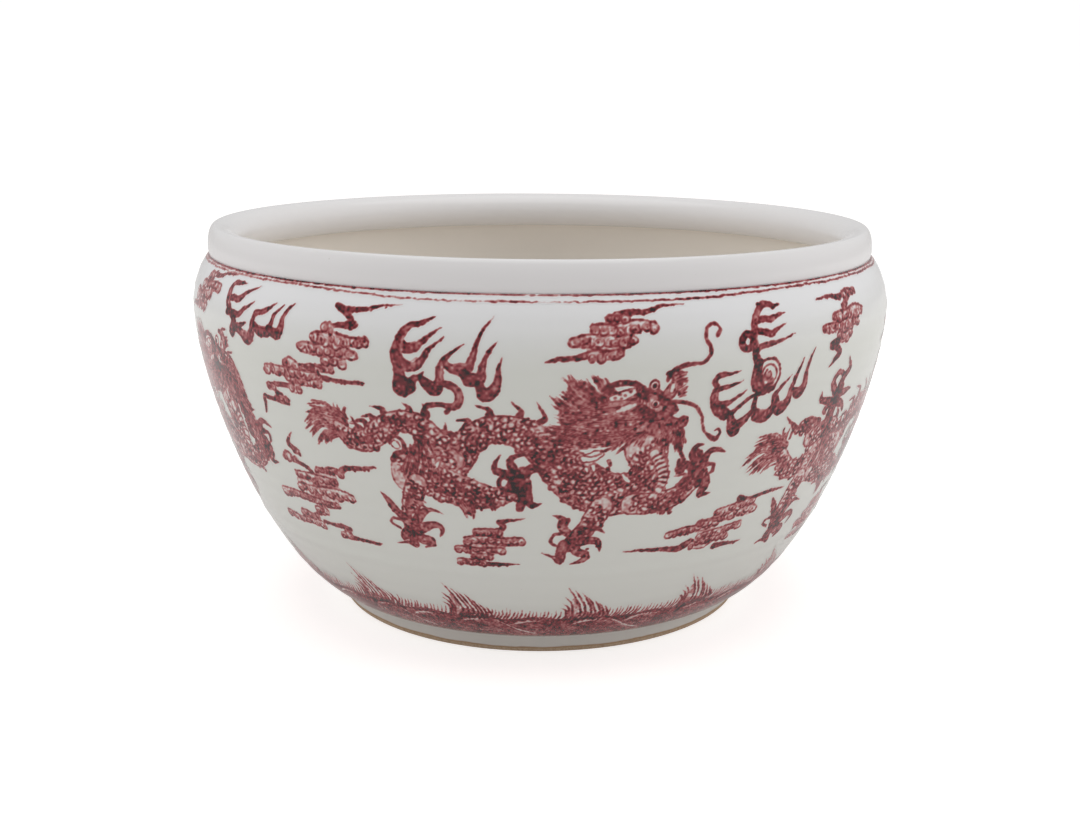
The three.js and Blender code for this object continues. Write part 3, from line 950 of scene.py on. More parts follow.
def fins(place, points, first, last, gap, length):
    """Curved spines along the upper side of a band, from share first to share last of its run. Each
    starts along the band's edge, rises and hooks back over its root."""
    line = spline(points)
    run, along, left = frame_of(line)
    chance = place.chance
    for u in np.arange(first * run[-1], last * run[-1], gap):
        u = u + chance.normal(0, gap * 0.15)
        x, y, width = (np.interp(u, run, line[:, k]) for k in range(3))
        a, out = (np.array([np.interp(u, run, side[:, k]) for k in (0, 1)]) for side in (along, left))
        root = np.array([x, y]) + out * (width / 2 - 1.0)
        tall = length * chance.uniform(0.6, 1.2)
        back = root + a * 3.0 - out * 0.6
        middle = root + out * tall * 0.5 + a * tall * 0.18
        tip = root + out * tall - a * tall * FIN_LEAN
        front = root + a * 1.0 + out * 0.6
        brush(place, [(*back, 2.6), (*front, 3.6), (*middle, 2.4), (*tip, 0.3)], fill=0.8, edge=0.3)


def fan(place, root, tip, count, bend=0.1, width=2.0, stray=1.0):
    """Hair that grows from one line and ends on another: root and tip are lists of points (x, y),
    and locks run from even shares of the one to even shares of the other, one over another. Each
    is a ribbon with dark edges and a light core, bent sideways by a share of its length. count
    and width are for hair drawn coarsely, and FINER is how much finer it is laid."""
    chance = place.chance
    count, width = int(FINER * count) + 1, NARROWER * width
    share = (np.arange(count) + chance.uniform(0.2, 0.8, count)) / count

    def on(points):
        p = np.asarray(points, float)
        run = run_of(p)
        return np.stack([np.interp(share * run[-1], run, p[:, k]) for k in (0, 1)], axis=1)

    roots = on(root) + chance.normal(0, 0.4, (count, 2))
    tips = on(tip) + chance.normal(0, stray, (count, 2))
    for k in chance.permutation(count):
        (rx, ry), (tx, ty) = roots[k], tips[k]
        side = np.array([-(ty - ry), tx - rx]) * (bend + chance.normal(0, 0.05))
        near = np.array([rx + 0.4 * (tx - rx), ry + 0.4 * (ty - ry)]) + side
        far = np.array([rx + 0.75 * (tx - rx), ry + 0.75 * (ty - ry)]) + side * 0.6
        w = width * chance.uniform(0.75, 1.25)
        lock = [(rx, ry, w * 0.8), (*near, w), (*far, w * 0.75), (tx, ty, 0.2)]
        brush(place, lock, LOCK_INK, edge=0.85, cover=0.95, build=0)


# %% Lines of the body
TAIL_TO_HUMP = [(-108, 153, 7), (-103, 148, 11), (-96, 145.5, 12.5), (-88, 148.5, 13), (-81, 155, 12.5),
    (-72, 159.5, 12), (-63, 159, 13), (-56, 153, 15), (-51, 144, 17), (-45, 136, 17)]
BACK = [(-46, 134, 16), (-41, 142, 17), (-36, 150, 16), (-28, 156.5, 15), (-18, 158.5, 16), (-7, 155.5, 18),
    (3, 147.5, 21), (12, 137, 25), (22, 127, 28), (34, 120.5, 27), (46, 120, 25), (55, 126, 21),
    (57.5, 136, 19), (52, 146, 19)]
RINGED_TAIL = [(-104, 145, 7), (-101, 138, 11), (-93, 132.5, 12), (-83, 133, 12.5), (-75.5, 140, 12),
    (-75, 149, 11), (-82, 156.5, 10), (-92, 159.5, 8), (-97, 157, 4)]
HUMP_FROM_RING = [(-80, 150, 12), (-70, 152, 13), (-60, 152, 15), (-52, 146, 16), (-45, 136, 17)]
HAUNCH = [(-44, 140, 12), (-56, 136, 22), (-66, 133, 25), (-70, 128, 20)]
THIGH_FORWARD = [(-62, 130, 22), (-48, 124, 21), (-36, 120, 18), (-24, 118.5, 13), (-15, 122, 9),
    (-11, 128, 7)]
print("the back runs", round(float(run_of(spline(BACK))[-1])), "mm from the haunch to the throat")


# %% Tail and hind feet
def tail(place):
    """The tail and its tuft of spiky hair."""
    each(fan, place, [
        ([(-104, 158), (-110, 156), (-110, 150), (-104, 147)], [(-124, 165.5), (-128.5, 158.5),
            (-132, 147.5), (-125, 140), (-118, 141.5), (-113, 145)], 18, -0.16, 2.6),
        ([(-102, 158), (-106, 158)], [(-100, 165), (-110, 165)], 5, 0.1, 2.2),
    ])
    brush(place, [(-104, 155, 6), (-108, 153.5, 8), (-112, 154, 6)], 0.62, 0.3)
    fan(place, [(-101, 158), (-103, 147)], [(-117, 161), (-116, 148)], 14, -0.1, 2.0)


def hind_foot(place):
    """The rear leg and its foot, with five claws spread on the ground."""
    band(place, [(-66, 124, 13), (-70, 115, 12), (-73, 107, 10), (-74.5, 99, 10.5)])
    each(brush, place, [
        ([(-78, 101, 5), (-82, 105, 4.6), (-85, 110, 4.6), (-89.5, 116, 0.4)], 0.55, 0.5),
        ([(-79, 99, 2), (-85, 99.5, 1.9), (-87, 96.5, 1.8), (-82, 93.3, 1.6)], 0.9),
        ([(-76, 93, 6), (-80, 88.5, 5), (-81, 86.5, 3.5)], 0.65, 0.5),
        ([(-74, 90, 6), (-75, 86, 5.4), (-74.5, 82.8, 4.4), (-80, 83.8, 2), (-87, 82.2, 0.4)], 0.65, 0.5),
        ([(-71, 91, 6), (-68.5, 87.5, 7.5), (-64, 88, 4.6), (-63, 85, 3.2), (-68, 82, 1.2)], 0.5, 0.6),
        ([(-69, 94, 5.5), (-64, 97, 5.5), (-58.5, 98, 4.2), (-55.6, 95, 2.8),
            (-57.8, 90.2, 0.6)], 0.55, 0.5),
        ([(-71, 99, 6), (-67.5, 104, 5.6), (-63.5, 107.5, 3.8), (-59, 108.2, 2.2),
            (-53, 106, 0.4)], 0.55, 0.5),
        ([(-74.5, 97, 10), (-73, 93, 9), (-72, 90, 7)], 0.55, 0.4),
    ])
    fan(place, [(-70, 118), (-68, 110)], [(-67, 113), (-62, 109)], 4, 0.1, 2.0)
    dots(place, [(-79, 86.5), (-75.6, 82.6), (-68.6, 85.6), (-66, 96.4), (-70.5, 90.6), (-77, 92),
        (-64.6, 95.6), (-73.4, 97.4), (-84, 105)], 1.25, 2.2)


def middle_claw(place):
    """The second hind leg reaches forward under the back and ends in a dark raised claw."""
    each(brush, place, [
        ([(-13, 126, 9), (-10, 131, 9), (-8, 134, 7)], 0.75, 0.3),
        ([(-11, 132, 5), (-14.5, 138, 4.2), (-14.5, 142, 3), (-9, 144.6, 2), (-3, 144.4, 0.4)], 0.8, 0.3),
        ([(-15, 133, 5), (-20, 133.5, 4.6), (-23.5, 136, 3.2), (-22.5, 140, 2),
            (-20.3, 144, 0.4)], 0.8, 0.3),
    ])
    angle = np.linspace(0.4, 6.6, 14)
    each(brush, place, [
        ([(-17.5 + 3.6 * np.cos(a), 127.2 + 3.8 * np.sin(a), 2.2) for a in angle], 0.9),
        ([(-8, 133, 5), (-4.5, 136.5, 5), (-1, 136.5, 3.8), (2, 134, 0.8)], 0.65, 0.4),
        ([(-9, 127, 5.5), (-9.5, 119, 4.2), (-10.5, 113, 4.6), (-11, 112, 3.8)], 0.75, 0.35),
        ([(-7, 128, 5.5), (-6, 120, 4.4), (-5, 114.5, 4.2), (1, 115, 0.6)], 0.7, 0.4),
    ])
    dots(place, [(-10.6, 112.4), (-4.4, 113.6), (-9, 131), (-8.2, 122.6), (-17, 153.5), (-13.6, 131),
        (-4, 136)], 1.5, 2.4)


# %% Front feet
def front_foot(place):
    """The front leg that stands, with its foot."""
    band(place, [(33, 112, 14), (30, 106, 13), (26, 99, 11), (22, 93, 12)])
    each(brush, place, [
        ([(15, 96, 5.4), (12, 101, 4.8), (12.5, 105, 4), (7, 107.8, 0.4)], 0.55, 0.5),
        ([(12, 103, 3.4), (16, 104.5, 2.2), (14, 100, 2.4)], 0.75),
        ([(13, 96, 2), (7.5, 94, 1.9), (6, 90, 1.9), (8.5, 87.4, 1.9), (12, 87, 1.6)], 0.9),
        ([(14, 88, 7), (12, 82, 6.4), (11.5, 76.8, 5.2), (8, 79, 2.4), (0.8, 82, 0.4)], 0.65, 0.5),
        ([(19, 89, 7), (21, 83, 5.6), (26.5, 80, 4.8), (25, 76.5, 3.6), (17.5, 73.8, 0.5)], 0.6, 0.5),
        ([(24, 90, 6), (29.5, 90.5, 4.8), (33.5, 88.5, 3.6), (34.8, 82, 0.5)], 0.6, 0.5),
        ([(28, 98, 4), (32, 98, 2.6), (36.5, 95.2, 0.5)], 0.85),
        ([(23, 95, 11), (19, 90, 11), (16, 87, 8)], 0.5, 0.4),
    ])
    dots(place, [(27, 84.5), (22, 96.5), (24.5, 90), (10.6, 81), (26.8, 79.4), (12, 75), (19, 86), (33, 86),
        (15, 92)], 1.3, 2.2)


def raised_claw(place):
    """The other front leg, raised before the beard, with its five claws open."""
    band(place, [(50, 113, 14), (62, 112.5, 14), (73, 115, 13), (82, 121, 10), (87, 128, 9)])
    each(brush, place, [
        ([(85, 125, 9), (84.5, 131, 10), (86, 135, 8)], 0.7, 0.3),
        ([(84.5, 134, 5), (80.5, 139.5, 3.8), (82, 144.5, 2.8), (86.5, 145.6, 0.6)], 0.75, 0.3),
        ([(86, 135, 4.6), (85, 140, 3.2), (81.5, 142.5, 2), (79, 141.5, 0.8)], 0.8),
        ([(87.5, 135, 5.2), (90.5, 140, 3.8), (95, 141, 3), (100.8, 138.6, 0.5)], 0.6, 0.45),
        ([(89, 133, 3.4), (94.3, 132.5, 2.2), (95, 129, 2.1), (93, 126.8, 0.8)], 0.8),
        ([(89, 127, 6), (92, 121.5, 5.6), (90, 116.5, 5), (90.5, 114.2, 3.4), (97, 114.6, 0.4)], 0.6, 0.45),
        ([(82, 132, 5), (77, 134.5, 5), (74.5, 131.5, 5), (73.5, 134, 3.4), (73, 138, 1.4)], 0.7, 0.35),
        ([(79, 126, 3.4), (75.5, 122.5, 2.8), (78, 128, 2.2), (71.5, 128.2, 0.5)], 0.8),
    ])
    dots(place, [(82, 134), (88, 123), (74.5, 132), (90, 114.5), (86, 136), (73.6, 105),
        (71, 107)], 1.4, 2.4)


# %% Chest and head
def chest(place):
    """The belly plates up the throat, the fold of the shoulder and the bare gaps in the bend."""
    plates = spline([(64, 120.5, 6), (65.3, 128, 7), (63, 136, 7), (58.5, 143, 7)], step=0.3)
    brush(place, plates[::4], fill=0.12, edge=0.7, cover=0.95)
    run, _, left = frame_of(plates)
    for u in np.arange(1.5, run[-1], 2.9):
        at, out = (np.array([np.interp(u, run, side[:, k]) for k in (0, 1)]) for side in (plates, left))
        plate = [(*(at - 3.3 * out), 1.2), (at[0], at[1] + 0.5, 1.2), (*(at + 3.3 * out), 1.2)]
        brush(place, plate, fill=0.85)
    for gap in [
        [(22, 141.5, 5), (27, 143, 6.5), (31, 144.5, 4)],
        [(23.5, 136, 3.4), (24.2, 134.2, 2.8)],
        [(27, 137.5, 3.8), (27.6, 134.5, 3)],
        [(43, 131.5, 3), (45, 129, 4.4), (46.5, 127.5, 3.6)],
        [(-55, 133, 1.8), (-53, 136.5, 3.2), (-51.5, 139, 1.6)],
        [(49, 137, 2.2), (49.5, 134, 1.8)],
        [(35, 140, 2.4), (36, 137.5, 1.8)],
    ]:
        brush(place, gap, fill=0.0, edge=0.85, cover=1.0)
    brush(place, [(21.5, 143.8, 0.7), (26, 143, 1.0), (30.5, 144.4, 0.8)], fill=0.7)


def head(place, whiskers=True):
    """The head in three-quarter view: mane and whiskers blown back, long brow, muzzle and beard."""
    # the mane: locks that fan back from the cheek in layers, the farthest first
    each(brush, place, [
        ([(18, 150, 6), (28, 154, 12), (38, 162, 22), (46, 168, 24), (54, 165, 20)], 0.35, 0.2, 0.8),
        ([(20, 174, 6), (30, 172, 14), (44, 170, 16)], 0.35, 0.1),
    ])
    each(fan, place, [
        ([(34, 172), (26, 168), (22, 162)], [(9, 187), (13, 180), (4, 174.5),
            (10, 168)], 16, 0.06, 2.4, 1.2),
        ([(38, 176), (30, 174), (26, 170)], [(29, 187), (21, 185), (15, 184),
            (10, 186)], 15, 0.05, 2.3, 1.2),
        ([(32, 166), (28, 160), (24, 154)], [(11, 169), (6, 163.5), (15, 160),
            (8, 155)], 15, 0.06, 2.4, 1.2),
        ([(38, 162), (34, 156), (28, 150)], [(18, 163), (13, 158), (2, 160), (-3, 155)], 14, 0.08, 2.3, 1.2),
        ([(48, 174), (44, 160), (36, 152)], [(25, 171), (20, 160), (17, 149)], 24, 0.08, 2.4, 1.6),
        ([(56, 168), (50, 160), (44, 153)], [(36, 168), (31, 157), (28, 147)], 22, 0.08, 2.3, 1.6),
        ([(60, 160), (54, 156), (48, 154)], [(52, 149), (43, 147), (34, 146)], 14, -0.08, 2.1, 1.2),
    ])
    # horn, ear and brow
    each(brush, place, [
        ([(31, 180, 2.6), (38, 182.6, 2.8), (45, 182, 2.8), (50, 179.5, 2.6)], 0.8, 0.2),
        ([(34, 174.5, 4), (40, 176, 6), (45, 178, 4.6)], 0.08, 0.75, 0.95),
    ])
    ear = np.array([(36, 174.8), (38.4, 176.6), (41, 176), (43.8, 178), (39, 174.4), (42.5, 179)])
    alike = np.ones(len(ear))
    stamp_arcs(place, ear[:, 0], ear[:, 1], 0 * alike, 0.3 * alike, 0.9, 0.85 * alike, opening=3.2)
    brush(place, [(38, 168, 4), (42, 169.5, 4.6), (46, 171, 3.6)], 0.12, 0.65, 0.9)
    fan(place, [(46, 180), (52, 176)], [(47, 170), (53, 168)], 6, 0.08, 1.8)
    brush(place, [(50, 176, 5), (53, 178, 3.4), (57.5, 176.8, 3.6), (60, 174, 4)], 0.8, 0.3)
    # cheek and muzzle
    each(brush, place, [
        ([(49, 168, 6), (52, 165, 7), (55, 163, 6)], 0.75, 0.35),
        ([(60, 172, 5), (63, 170, 5.4), (66.5, 167, 4.4), (66.6, 165.4, 3.4)], 0.8, 0.35),
        ([(61, 172, 6), (64, 177, 7), (67, 181, 6), (66, 185, 5), (62, 186, 2.6)], 0.5, 0.55),
        ([(64.4, 177.4, 4), (64.8, 180.4, 3.4)], 0.08, 0.75, 1.0),
    ])
    if whiskers:
        brush(place, [(62, 183, 2), (65, 187.5, 2.4), (70, 190, 2.4), (75, 190.6, 2), (80.5, 191.2, 1.9),
            (84, 194, 1.9), (84.4, 198, 1.9), (82, 203, 1.8), (83, 208, 1.7), (87, 210, 1.7),
            (90, 207.5, 1.6), (88.6, 204.3, 2.4)], fill=0.85, edge=0.1)
        brush(place, [(66, 171, 1.9), (72, 170, 2), (78, 167.5, 2), (82, 162, 1.7), (83.7, 155, 1.5),
            (87, 150.5, 1.5), (92, 147.6, 3), (94.6, 150.6, 1.4), (93, 153.2, 1.2),
            (91, 152.4, 0.5)], fill=0.85, edge=0.1)
    else:
        fan(place, [(64, 176), (70, 150)], [(78, 168), (85, 138)], 18, bend=0.12, width=2.3)
        fan(place, [(68, 152), (72, 128)], [(84, 142), (86, 112)], 16, bend=0.12, width=2.3)
    fan(place, [(66, 187), (69, 172)], [(71.5, 188), (73.5, 174)], 8, 0.05, 1.8, 0.6)
    each(brush, place, [
        ([(56, 163, 5), (62, 164, 5.4), (66, 160.5, 4.4), (70, 159, 4.8), (72.4, 160.5, 5),
            (72.4, 158, 3.4)], 0.7, 0.4),
        ([(57, 157, 8), (62, 155, 8), (66, 152, 5)], 0.5, 0.35, 0.6),
    ])
    # beard
    each(fan, place, [
        ([(59, 159), (70, 159)], [(62, 147), (74, 147)], 12, 0.07, 2.1, 1.0),
        ([(66, 155), (72, 154)], [(70, 143), (75, 142)], 5, 0.05, 2.1, 0.8),
    ])
    brush(place, [(70, 150, 2.8), (72, 145, 2.4), (75, 139, 2), (76, 134, 2.4)], 0.85)
    fan(place, [(58, 152), (66, 151)], [(60, 147), (66, 142)], 6, -0.1, 1.8, 0.8)
    dots(place, [(49, 168), (63.2, 147), (61.6, 168), (57.4, 149.4), (8.4, 146.4), (37.5, 160), (28, 158),
        (34, 150), (34.8, 135.6), (66.6, 166.4), (72.4, 160.6)], 1.4, 2.2)
    # eyes, standing proud of the brow
    angle = np.linspace(0, 2 * np.pi, 12)
    for x, y, across, up in ((55.4, 180.4, 2.3, 2.7), (56.5, 170.7, 2.3, 2.2)):
        brush(place, [(x, y - 0.3, 5.0), (x, y + 0.3, 5.0)], fill=0.0, cover=1.0, build=0)
        brush(place, [(x + across * np.cos(a), y + up * np.sin(a), 0.9) for a in angle], fill=0.85)
        brush(place, [(x - 0.1, y - 0.4, 1.7), (x + 0.1, y + 0.2, 1.7)], fill=1.5, build=0)


# %% Whole dragon
def raised_foot(place):
    """A hind foot kicked up over the hump, its toes spread like a fan."""
    brush(place, [(-64, 152, 9), (-65, 160, 9), (-63, 168, 8)], fill=0.6, edge=0.5)
    for toe in [
        [(-64, 168, 5), (-71, 170, 4.6), (-79, 172, 3.4), (-80, 177, 0.6)],
        [(-66, 174, 5), (-70, 181, 4.4), (-66, 185.5, 3.4), (-60, 184, 3)],
        [(-62, 176, 6), (-58, 184, 5), (-53, 188, 3.6), (-56, 195, 0.5)],
        [(-60, 172, 5), (-53, 172.6, 4.4), (-46, 173, 1)],
        [(-61, 168, 5), (-54, 165, 4), (-50, 161, 2.4)],
        [(-64, 166, 4), (-67, 161, 3.4), (-65, 158, 2)],
        [(-66, 170, 4), (-74, 166, 4), (-73, 163.4, 3)],
    ]:
        brush(place, toe, fill=0.62, edge=0.5)
    brush(place, [(-62, 171, 8), (-61, 177, 8)], fill=0.75, edge=0.3)


def dragon(place, ringed=False, whiskers=True):
    """One whole dragon, from its tail to the tips of its whiskers. ringed is for the one whose
    tail curls into a ring and whose hind foot is kicked up. Without whiskers its beard is long."""
    tail(place._replace(y=place.y - 6) if ringed else place)
    fins(place, HUMP_FROM_RING if ringed else TAIL_TO_HUMP, 0.12, 0.92, 7.5, 7.0)
    fins(place, BACK, 0.06, 0.5, 8.5, 8.5)
    if ringed:
        brush(place, [(-97, 158, 5), (-102, 162, 3), (-109, 168, 0.5)], fill=0.75, edge=0.3)
        band(place, RINGED_TAIL)
        band(place, HUMP_FROM_RING)
        raised_foot(place)
    else:
        band(place, TAIL_TO_HUMP)
    band(place, BACK)
    band(place, HAUNCH, edge=0.35)
    band(place, THIGH_FORWARD, edge=0.45)
    if not ringed:
        brush(place, [(-78, 147, 2), (-77, 150.5, 2), (-73, 150.6, 2), (-70, 147, 2.2), (-71, 143, 2.2),
            (-75, 141, 3), (-77.5, 137.5, 3.4)], fill=0.9)
        brush(place, [(-75, 146.5, 5), (-74, 145.5, 4.6)], fill=0.0, edge=0.7, cover=1.0)
    each(fan, place, [
        ([(-66, 146), (-56, 150)], [(-73, 128), (-52, 126)], 12, 0.05, 2.2),
        ([(-46, 116), (-36, 114)], [(-41, 104), (-36, 106)], 5, 0.05, 2.4),
        ([(-34, 113), (-22, 116)], [(-31, 109.5), (-20, 113)], 5, 0.05, 2.4),
        ([(10, 126), (24, 114)], [(11, 121), (26, 110)], 8, 0.1, 2.4, 0.6),
        ([(62, 110), (74, 111)], [(65, 104), (74, 105)], 6, 0.1, 2.2, 0.8),
    ])
    hind_foot(place._replace(x=place.x - 10) if ringed else place)
    front_foot(place)
    raised_claw(place)
    middle_claw(place)
    chest(place)
    head(place, whiskers)


# %% [markdown]
# The border of waves
#
# Round the foot runs a sea: long swells that overlap like leaves, each washed in and hatched
# with fine lines that follow its back, a comb of short spray along the top, and after every
# second swell a tall crest, a comb of hairs that all bow to the right. The photograph shows four
# crests, 74 to 86 mm apart, and the hidden ones share out the rest of the round.

# %% Waves
SEEN_CRESTS = [-138.6, -64.6, 17.7, 103.3]  # mm along the wall to the tip of each crest
CRESTS = 16
SPRAY_GAP = 2.6  # mm from one stroke of the spray to the next
hidden = CRESTS - len(SEEN_CRESTS)
hidden_gap = (ROUND + SEEN_CRESTS[0] - SEEN_CRESTS[-1]) / (hidden + 1)
CREST_TIPS = SEEN_CRESTS + [SEEN_CRESTS[-1] + hidden_gap * (k + 1) for k in range(hidden)]
print("crests of spray, mm along:", np.round(CREST_TIPS[:6], 1))


# %% Swells and crests
def swell(place, x0, x1):
    """One swell: from its left tip at x0 it rises under the spray and falls away to x1. A pale
    line follows its back on the left, and a dark wedge lies below that."""
    chance = place.chance

    def back(share, drop):
        """The swell's back at a share of its length, drop mm below the top line."""
        rise = 21 + 6.0 * np.sin(np.pi * min(share * 1.25, 1.0) ** 0.8) - 13 * max(share - 0.5, 0) / 0.5
        return x0 + share * (x1 - x0), rise - drop

    def follow(drop, widths, **look):
        """A stroke drop mm under the back, through a list of (share, width)."""
        brush(place, [(*back(share, drop), width) for share, width in widths], **look)

    shares = (0.06, 0.25, 0.45, 0.65, 0.85)
    body = [(*back(share, 4 + 6 * share), 5 + 7 * np.sin(np.pi * share)) for share in shares]
    brush(place, body, fill=[0.6, 0.72, 0.62, 0.7, 0.66], edge=0.1, cover=0.8)
    for drop in np.arange(2.4, 16, 1.9):
        first, last = 0.1 + 0.02 * drop, 0.98 - 0.012 * drop
        level = chance.choice([0.5, 0.7, 0.9])
        widths = ((first, 0.6), (0.3, 1.1), (0.55, 1.2), (0.8, 1.1), (last, 0.6))
        hatch = [(*back(share, drop * (0.7 + 0.3 * share)), width) for share, width in widths]
        brush(place, hatch, fill=level, cover=0.5, build=0)
    follow(2.0, ((0.02, 0.8), (0.12, 1.9), (0.26, 1.8), (0.4, 0.6)), fill=0.16, cover=0.95, build=0)
    wedge = ((0.05, 3.0, 1.0), (0.14, 5.5, 2.8), (0.24, 9.5, 2.2), (0.33, 14, 0.8))
    brush(place, [(*back(share, drop), width) for share, drop, width in wedge], fill=0.98, build=0)
    follow(0.6, ((0.5, 0.9), (0.65, 1.8), (0.8, 1.8), (0.96, 0.8)), fill=0.18, cover=0.95, build=0)
    top = ((0.0, 0.8), (0.15, 1.3), (0.4, 1.5), (0.55, 1.5), (0.75, 1.1), (0.95, 0.6))
    follow(-0.4, top, fill=[1.05, 0.85, 0.8, 0.9, 0.8, 0.6])


def crest(place):
    """A tall crest of spray with its tip at x = 0: seven long hairs behind it and three short ones
    before it. Each leaves the top line, bows to the right and comes back to a hair's point."""
    chance = place.chance
    each(brush, place, [
        ([(3, 21, 3), (6, 25, 8), (11, 29, 10), (18, 29, 7), (25, 28.5, 4)], 0.36),
        ([(5, 33, 5), (6.5, 39, 5), (5, 45, 3)], 0.28),
    ])
    for k in range(7):
        tip_x, tip_y = 5.0 * k - 0.1 * k * k, 56.5 - 3.1 * k + chance.normal(0, 0.5) * (k > 0)
        tall = tip_y - 27
        bow = 0.36 * tall
        hair = [
            (tip_x + 0.5 * bow - 0.9, 24.5, 1.0),
            (tip_x + 0.95 * bow, 27 + 0.17 * tall, 1.5),
            (tip_x + 0.84 * bow, 27 + 0.45 * tall, 1.5),
            (tip_x + 0.44 * bow, 27 + 0.75 * tall, 1.2),
            (tip_x, tip_y, 0.3),
        ]
        brush(place, hair, fill=[1.0, 0.95, 0.9, 0.8, 0.6])
    for k in range(3):
        tip_x, tip_y = -1.4 - 0.9 * k, 47 - 4.2 * k
        bow = 6.0 - 1.0 * k
        middle = 0.4 * 33 + 0.6 * tip_y
        hair = [(tip_x + 0.7 * bow, 24, 1.2), (tip_x + bow, 33, 1.7), (tip_x + 0.8 * bow, middle, 1.3),
            (tip_x, tip_y, 0.3)]
        brush(place, hair, fill=[0.95, 0.85, 0.7])
    brush(place, [(2.5, 18.5, 1.4), (4.5, 22.5, 3.4), (8, 26, 2.6)], 1.1)


def waves(place, gap):
    """One length of the border, from one crest of spray to the next, gap mm on."""
    chance = place.chance
    brush(place, [(-6, 13, 27), (gap / 2, 13, 27), (gap + 6, 13, 27)], fill=0.68, edge=0.0)
    for level, fill in zip((2.4, 4.6, 7.2, 10.0), (0.76, 0.62, 0.8, 0.66)):
        y = level + chance.normal(0, 0.2)
        line = [(-6, y, 1.1), (gap * 0.3, y + 0.5, 1.4), (gap * 0.7, y - 0.4, 1.2), (gap + 6, y, 1.1)]
        brush(place, line, fill=fill, cover=0.4, build=0)
    swell(place, 0.5 * gap + 2, 1.16 * gap)
    swell(place, 2, 0.76 * gap)
    top = [(-2, 24.6, 2.0), (gap * 0.25, 27.2, 2.4), (gap * 0.48, 24.8, 2.0), (gap * 0.75, 28, 2.2),
        (gap + 2, 24.6, 2.0)]
    brush(place, top, fill=[0.8, 0.7, 0.95, 0.72, 0.8])
    for x in np.arange(-2.0, gap - 4, SPRAY_GAP):
        near = np.exp(-(((gap - x) / 9) ** 2))
        tall = chance.uniform(6.5, 9.0) + 4 * near
        base = 27.4 + 0.8 * np.sin(2 * np.pi * x / gap - 1.4) + chance.normal(0, 0.3)
        lean = 2.2 + 1.6 * near
        drop = [(x - 1.0, base - 1.6, 1.4), (x + 0.8 * lean, base + tall * 0.45, 1.3),
            (x + lean, base + tall, 0.4)]
        brush(place, drop, fill=[0.8, 0.62, 0.4])
    crest(place)
    ground = [(-6, 1.0, 1.1), (gap * 0.3, 0.8, 1.5), (gap * 0.7, 1.1, 1.2), (gap + 6, 0.9, 1.3)]
    brush(place, ground, fill=[0.9, 1.15, 0.8, 1.05])
    x = chance.uniform(7, 18)
    brush(place, [(x + 1.5, 11, 1.2), (x, 7, 3.4), (x - 3, 2.5, 3.0)], fill=1.1)


# %% [markdown]
# Laying out the whole painting
#
# Five dragons chase their pearls round the basin. The spacing comes from the photograph: the
# dragon at the front, the tail of the next and the head of the one before show whole or in
# part, and about a fifth of the way round lies between them. The hidden ones follow suit. Each
# is drawn again by hand, so its strokes stray by a fraction of a millimetre.
#
# The whole round is drawn three times, in its place and once to each side of it, but for what
# lies too far from the sheet to reach it. So strokes run on over the seam.

# %% Composition
# mm along and up the wall from the front dragon to each of the five
DRAGONS = [(0, 0), (247, -14), (511, -4), (775, 3), (1039, 5)]
RINGED, NO_PEARL = 1, 4  # the one whose tail is a ring, and the one whose pearl is out of sight
CLOUDS_ROUND = [  # each heap of clouds, with its shift from the place where the front dragon has it
    ("over_the_tail", 0, 0), ("behind_the_tail", 0, 0), ("below_the_tail", 0, 0),
    ("over_the_foot", 247, -14), ("before_the_claw", 0, 0),
    ("over_the_tail", 511, -3), ("before_the_claw", 239, -8),
    ("over_the_tail", 775, 2), ("before_the_claw", 503, -3),
    ("over_the_tail", 1039, 4), ("before_the_claw", 767, 4),
]
FRONT_HAND, HIDDEN_HAND = 0.15, 0.8  # mm by which a dragon's strokes stray
CLOUD_HAND, WAVE_HAND, LINE_HAND = 0.3, 0.25, 0.12
DRAGON_REACH, CLOUD_REACH, WAVE_REACH = 200, 220, 140  # mm past half the round: farther ones are left out
TURNS = (-ROUND, 0, ROUND)

for turn in TURNS:
    for k, start in enumerate(CREST_TIPS):
        gap = (CREST_TIPS + [CREST_TIPS[0] + ROUND])[k + 1] - start
        if abs(start + turn) < ROUND / 2 + WAVE_REACH:
            waves(Place(start + turn, 0, np.random.default_rng(100 + k), WAVE_HAND), gap)
for turn in TURNS:
    for number, (name, along, up) in enumerate(CLOUDS_ROUND):
        if abs(along + turn) < ROUND / 2 + CLOUD_REACH:
            cloud(Place(along + turn, up, np.random.default_rng(20 + number), CLOUD_HAND), **CLOUDS[name])
    for number, (along, up) in enumerate(DRAGONS):
        if abs(along + turn) > ROUND / 2 + DRAGON_REACH:
            continue

        def drawn_from(seed):
            """This dragon's place, with random numbers of its own for the seed."""
            hand = FRONT_HAND if number == 0 else HIDDEN_HAND
            return Place(along + turn, up, np.random.default_rng(seed + number), hand)

        for name in ("over_the_head", "below_the_back"):
            cloud(drawn_from(60), **CLOUDS[name])
        if number != RINGED:
            back_flames(drawn_from(30))
        chased = flames_ahead if number == NO_PEARL else pearl
        chased(drawn_from(40))
        dragon(drawn_from(50), ringed=number == RINGED, whiskers=number != NO_PEARL)

# %% [markdown]
# The neck lines
#
# Two lines run round the neck on the wheel, in short strokes whose load varies. The upper one
# is strong, and fainter near the front. The lower one fades there to almost nothing, and draws
# a little nearer to it at both sides.

# %% Neck lines
UPPER_LINE, LOWER_LINE = 227.5, 223.5  # mm up the sheet
STROKE_STEP = 12.0  # mm from the start of one stroke to the next


def bell(x, middle, width):
    """1 at the middle, falling off on both sides as a bell curve of that width."""
    return np.exp(-(((x - middle) / width) ** 2))


